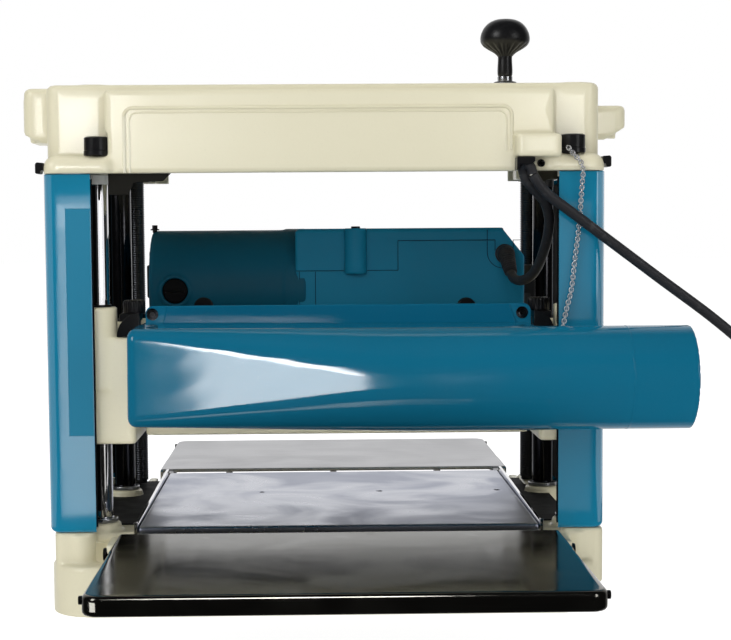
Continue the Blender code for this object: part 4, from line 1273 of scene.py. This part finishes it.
SEAM_LINES = (((-32, 257), (8, 257)), ((26.6, 257), (52.5, 257)), ((52.5, 257), (52.5, 281.6)),
              ((52.5, 281.6), (133.3, 281.6)), ((-16.2, 192), (-16.2, 257)), ((-29.5, 192), (-29.5, 257)),
              ((133.3, 281.6), (133.3, 273)), ((148.4, 281.4), (154, 281.4)), ((148.4, 281.4), (148.4, 273)))
SEAM_EDGES = (((-32, 256.4), (8, 256.4)), ((-30.2, 192), (-30.2, 256)), ((52.5, 281), (133, 281)))


def gear_case():
    """The square case beside the motor: a screw tower, a sloped corner, and the seams of its parts."""
    c = Cast((-38, 162), (-20, 92), (187, 296), 1.0)

    def beyond_slope(x):
        return (c.x - x) * 0.781 + (c.z - 290.5) * 0.625
    c.add(np.maximum(c.plate((-33, 158), (-12, 86), (191, 290.5), 3, 2.2), beyond_slope(140)))
    c.add(c.plate((-31.5, 141), (-10.6, 87), (286, 291.8), 4, 1.6), 0.5)
    c.trim(beyond_slope(141))
    c.cut(np.maximum(c.plate((-60, 154), (-8, 82), (195, 286.5), 2, 2), beyond_slope(135)), 0.5)
    c.cut(c.along_x((MOTOR_Y, MOTOR_Z), 8.6, (140, 170)), 0.5)
    c.cut(c.plate((154.5, 170), (-40, 110), (170, 211), 1, 1), 1)
    # The case, its tower and its seam edges get the motor plastic painted lighter, as painted light.
    finish_piece(c.piece("gear_case_moulded", 0.0), "case_blue_painted_light", "head", "gear_case")
    tower = [(0, 0), (8.4, 0), (9.5, 1.6), (9.5, 37), (8.8, 38), (0, 38)]
    finish_piece(turned("gear_case_tower", rounded(tower, 0.6), (17.3, -11, 254)), "case_blue_painted_light", "head")
    socket_screw("tower_screw", (17.3, -14.5, 291.4), (0, 0, 1), 3.8, 2.2, "head")
    seams = []
    for i, ((x0, z0), (x1, z1)) in enumerate(SEAM_LINES):
        x, z = ((min(ends) - 0.25, max(ends) + 0.25) for ends in ((x0, x1), (z0, z1)))
        seams.append(block(f"seam_{i}", x, (-12.1, -11.6), z, 0.05, 1))
    around = [(126.8, 290), *arc((140, 271.4), 13.2, 180, 285, 16)]
    seams.append(swept("seam_round_boot", [Vector((x, -11.9, z)) for x, z in around], 0.3, 8))
    finish_piece(joined("gear_case_seams", *seams), "black_sheet", "head")
    edges = [swept(f"seam_edge_{i}", [Vector((x, -11.95, z)) for x, z in ends], 0.28, 8)
             for i, ends in enumerate(SEAM_EDGES)]
    finish_piece(joined("gear_case_seam_edges", *edges), "case_blue_painted_light", "head")


# ---------------------------------------------------------------- hood

HOOD_Y = -201.0
HOOD_Z = 183.0
HOOD_R = 37.5


def hood():
    """The dust hood: flat and square at the left, it rounds off into the outlet tube at the right."""
    c = Cast((-154, 257), (-242, -76), (140, 226), 1.35)
    share = np.clip((c.x + 150) / 205, 0, 1)
    share = eased(share) * 0.35 + share * 0.65
    corner = 8 + (HOOD_R - 8) * share
    lean = 5 * (1 - eased(np.clip((c.x - 60) / 120, 0, 1)))
    near = -234 + (HOOD_Y - HOOD_R + 234) * share + lean * (c.z - 144) / 78
    top = 222 + (HOOD_Z + HOOD_R - 222) * share
    low = 152.5 + (HOOD_Z - HOOD_R - 152.5) * share
    front = meet(span(c.y, (near, HOOD_Y + HOOD_R)), span(c.z, (low, top)), corner)
    front = np.maximum(meet(front, -150 - c.x, 6), c.x - 253.6)
    back = meet(span(c.y, (-190, -60)), span(c.z, (low + 0.6, top - 0.6)), 4)
    outer = c.smooth(front, meet(back, np.abs(c.x + 1) - 149, 5), 2)
    c.add(outer)
    c.cut(np.maximum(outer + 3.1, c.x - 200), 0.6)
    c.cut(c.along_x((HOOD_Y, HOOD_Z), HOOD_R - 3, (190, 275)), 0.6)
    mouth = np.maximum(np.abs(c.x + 1) - 145.5, np.abs(c.y + 95) - 35)
    c.cut(np.maximum(mouth, np.maximum(low + 3.4 - c.z, c.z - 218)), 0.6)
    c.trim(c.y + 80.3)
    finish_piece(c.piece("hood_shell", 0.0), "blue_gloss", "head", "hood")
    at = (206.4, HOOD_Y, HOOD_Z)
    seam = ring("hood_tube_seam", at, (1, 0, 0), HOOD_R - 1, HOOD_R + 0.16, 1.4, 0.3, 128)
    finish_piece(seam, "blue_gloss", "head")
    outline = [(-134.4, 214), (138.8, 214), (131.2, 234), (-129.6, 234)]
    plate = prism("hood_flange_plate", outline, "Y", -130.4, -125.4, 0.9)
    left = [(-126, 214), (-126, 234), *arc((-140, 228), 6, 90, 180), (-146, 214)]
    right = [(126, 214), (148, 214), *arc((142, 228), 6, 0, 90), (126, 234)]
    ears = [prism(f"hood_ear_{x}", ear, "Y", -128.8, -125.4, 0.6) for x, ear in enumerate((left, right))]
    finish_piece(joined("hood_flange", plate, *ears), "flange_blue", "head")
    for side, x, z in (("left", -140.9, 227.6), ("right", 141.2, 227)):
        socket_screw(f"hood_screw_{side}", (x, -128.6, z), (0, -1, 0), 3.2, 2.4, "head", washer=4.6)


def hood_fasteners():
    """The bracket at each end of the hood, and the ribbed thumb screw on it."""
    floor = 210.3
    for name, inner, outer, knob_x in (("left", -150.6, -168.4, -156), ("right", 150.6, 166.6, 155.5)):
        sign = math.copysign(1, inner)
        width = abs(outer - inner)
        quarter = [math.pi / 2 * i / 8 for i in range(9)]
        edge = [(inner + sign * width * math.sin(a), floor + 18.5 * math.cos(a)) for a in quarter]
        bracket = prism(f"hood_bracket_plate_{name}", [(inner, floor)] + edge, "Y", -128, -125, 0.6)
        seat_x = sorted((inner, outer - sign * 2))
        seat = block(f"hood_bracket_seat_{name}", seat_x, (-125.5, -104), (222, 228), 1.2)
        foot_x = sorted((inner + sign, outer - sign * 4))
        foot = block(f"hood_bracket_foot_{name}", foot_x, (-120, -106), (floor, 223), 1.2)
        formed = joined(f"hood_bracket_formed_{name}", bracket, seat, foot)
        finish_piece(formed, "black_plastic", "head", f"hood_bracket_{name}")
        profile = rounded([(0, 0), (8.5, 0), (8.5, 8.2), (7.6, 9.6), (5.6, 10), (0, 10)], 0.5)

        def ribs(height, angle):
            return 1 - 0.09 * (0.5 + 0.5 * math.cos(20 * angle)) * (1 if height > 0.5 else 0)
        knob = turned(f"thumb_screw_knob_{name}", profile, (knob_x, -115, 228.3), sides=160, wave=ribs)
        finish_piece(knob, "black_plastic", f"thumb_{name}", f"thumb_screw_{name}")


def cord_boot():
    """The ribbed rubber boot where the cord leaves the motor, bending down."""
    route = smooth_line([(141.5, -12.3, 270), (141.6, -17, 270.3), (141.9, -21.5, 268.4),
                         (142.6, -28.5, 262.4), (143.5, -36.6, 255.4)], 0.5)

    def radius(share):
        if share < 0.3:
            return 7.2 if share > 0.03 else 8.2
        taper = 7.0 - 1.8 * (share - 0.3) / 0.7
        return taper - (0.8 if int(share * 26) % 2 else 0.0)
    finish_piece(swept("cord_boot_ribbed", route, radius, 40), "rubber", "head", "cord_boot")


CHAIN_ROUTE = [(173, -151.8, 350.5), (177, -153.6, 345), (181.6, -154.2, 340), (183.4, -153.8, 333),
               (183, -151.8, 322), (182, -150.7, 305), (180.6, -150.4, 288), (178, -150.4, 267),
               (175.5, -150.4, 245), (171.5, -150.4, 228), (168, -150.4, 208), (167, -150.4, 195)]


def retaining_chain():
    """The chain from the right cap: oval wire links, each turned a quarter on from the last."""
    wire, half_width, half_length = 0.48, 1.5, 2.0
    bm = bmesh.new()
    for i, place in enumerate(line_frames(smooth_line(CHAIN_ROUTE, 2.4))):
        turn = Matrix.Rotation(math.radians(45 * (-1) ** i + 12 + 5 * math.sin(i)), 4, "Z")
        rows = []
        for a in turn_angles(20):
            middle = Vector((half_width * math.cos(a), 0, half_length * math.sin(a)))
            out = Vector((half_length * math.cos(a), 0, half_width * math.sin(a))).normalized()
            around = [middle + wire * Vector((out.x * math.cos(b), math.sin(b), out.z * math.cos(b)))
                      for b in turn_angles(8)]
            rows.append([bm.verts.new(place @ turn @ p * MM) for p in around])
        bridge(bm, rows + rows[:1])
    finish_piece(from_bmesh("retaining_chain_links", bm, 0), "bright_zinc", "frame", "retaining_chain")


# ---------------------------------------------------------------- studio

def studio():
    """A white room that the camera sees, but that the machine mirrors only from behind."""
    world = bpy.data.worlds.new("studio")
    world.use_nodes = True
    tree = world.node_tree
    background = tree.nodes["Background"]
    place = tree.nodes.new("ShaderNodeTexCoord")
    split = tree.nodes.new("ShaderNodeSeparateXYZ")
    tree.links.new(place.outputs["Generated"], split.inputs["Vector"])
    behind = tree.nodes.new("ShaderNodeMapRange")
    put(behind, From_Min=0.35, From_Max=0.9, To_Min=0.025, To_Max=1.0)
    tree.links.new(split.outputs["Y"], behind.inputs["Value"])
    ray = tree.nodes.new("ShaderNodeLightPath")
    seen = tree.nodes.new("ShaderNodeMath")
    seen.operation = "MAXIMUM"
    tree.links.new(ray.outputs["Is Camera Ray"], seen.inputs[0])
    tree.links.new(behind.outputs["Result"], seen.inputs[1])
    tree.links.new(seen.outputs["Value"], background.inputs["Strength"])
    put(background, Color=(1, 1, 1, 1))
    bpy.context.scene.world = world
    bpy.context.scene.view_settings.view_transform = "Standard"

    floor = bpy.data.materials.new("studio_floor")
    floor.use_nodes = True
    put(floor.node_tree.nodes["Principled BSDF"], Base_Color=(0.25, 0.25, 0.25, 1), Roughness=0.9,
        Emission_Color=(1, 1, 1, 1), Emission_Strength=0.97)
    plane = block("studio_floor", (-9000, 9000), (-2500, 14000), (-10, -0.5))
    plane.visible_glossy = False
    plane.data.materials.append(floor)


def softbox(name, at, target, size, radiance, mirrored=True, only=()):
    """A light panel. One that is not mirrored lights the machine but does not show in its gloss.

    A mirrored one with pieces to itself shows in their gloss and does nothing else.
    """
    light = bpy.data.lights.new(name, "AREA")
    light.shape = "RECTANGLE"
    light.size, light.size_y = (s * MM for s in size)
    light.energy = radiance * math.pi * light.size * light.size_y
    obj = add_object(name, light)
    heading = (Vector(target) - Vector(at)).to_track_quat("-Z", "Y").to_matrix().to_4x4()
    obj.matrix_world = Matrix.Translation(Vector(at) * MM) @ heading
    obj.visible_camera = False
    obj.visible_glossy = mirrored
    if only:
        obj.visible_diffuse = not mirrored
        shown = bpy.data.collections.new(name)
        for piece in only:
            shown.objects.link(bpy.data.objects[piece])
        obj.light_linking.receiver_collection = shown


def lights():
    softbox("overhead", (0, -300, 2600), (0, 0, 200), (2600, 2200), 2.1, mirrored=False)
    softbox("key", (-300, -2600, 900), (0, 0, 200), (2200, 1800), 2.05, mirrored=False)
    softbox("rear", (300, 2400, 1400), (0, 0, 200), (1800, 1200), 2.5, mirrored=False)
    softbox("left_side", (-1900, -1700, 1500), (0, 0, 200), (900, 1400), 5)
    softbox("right_side", (1800, -2000, 900), (0, 0, 200), (500, 1400), 4)
    softbox("head_fill", (-100, -1500, 250), (-100, -125, 170), (500, 500), 11, mirrored=False,
            only=("carriage_casting_left", "carriage_casting_right", "head_bridge_casting"))
    shell = ("hood_shell",)
    softbox("hood_card", (-127, -1520, 232), (-60, -234, 190), (267, 196), 12, only=shell)
    softbox("crease_strip", (-127, -1500, 490), (-60, -230, 220), (267, 310), 30, only=shell)
    sheet = ("outfeed_table_sheet",)
    softbox("lip_strip", (-60, -1450, 1000), (-20, -385, 60), (420, 260), 20, only=sheet)
    softbox("lip_corner_card", (-290, -470, 30), (-160, -380, 58), (110, 50), 6, only=sheet)
    cover = ("column_cover_shell_near_left",)
    softbox("left_cover_card", (-235.4, -380, 177), (-200, -147, 200), (48, 332), 4.4, only=cover)
    softbox("left_cover_top_card", (-235.4, -381, 332), (-200, -147, 320), (48, 34), 2.4, only=cover)
    softbox("left_bend_card", (-900, -140, 200), (-215, -140, 200), (1800, 700), 1.2, only=cover)
    cover = ("column_cover_shell_near_right",)
    softbox("right_cover_card", (222, -380, 177), (184, -147, 200), (46, 332), 0.7, only=cover)
    softbox("right_bend_card", (900, -140, 200), (198, -140, 200), (1800, 700), 1.8, only=cover)
    top = ("top_casting",)
    softbox("left_end_card", (-385, -1420, 480), (-200, -130, 375), (140, 150), 55, only=top)
    softbox("right_end_card", (390, -1420, 480), (184, -130, 375), (130, 150), 32, only=top)
    post = ("guide_post_bar_near_left",)
    softbox("post_card", (46, -305, 190), (-184, -112, 200), (375, 370), 1.1, only=post)


camera()
make_materials()
mains_cord()
cord_loop()
base_casting()
main_table()
# The outfeed table's steel is painted near-black, as painted shade and painted dark reflections.
extension_table("outfeed_table", -1, "near_table_steel_painted_dark")
extension_table("infeed_table", 1, "far_table_steel")
hinge_rods()
column_covers()
guide_posts()
lead_screws()
lift_chain()
top_casting()
top_trim()
cord_clip()
under_brackets()
switch()
height_gauge()
crank()
carriage("left")
carriage("right")
head_bridge()
cutterhead()
feed_rollers()
bearings()
armature()
drive_belt()
belt_cover()
motor()
gear_case()
hood()
hood_fasteners()
cord_boot()
retaining_chain()

studio()
lights()
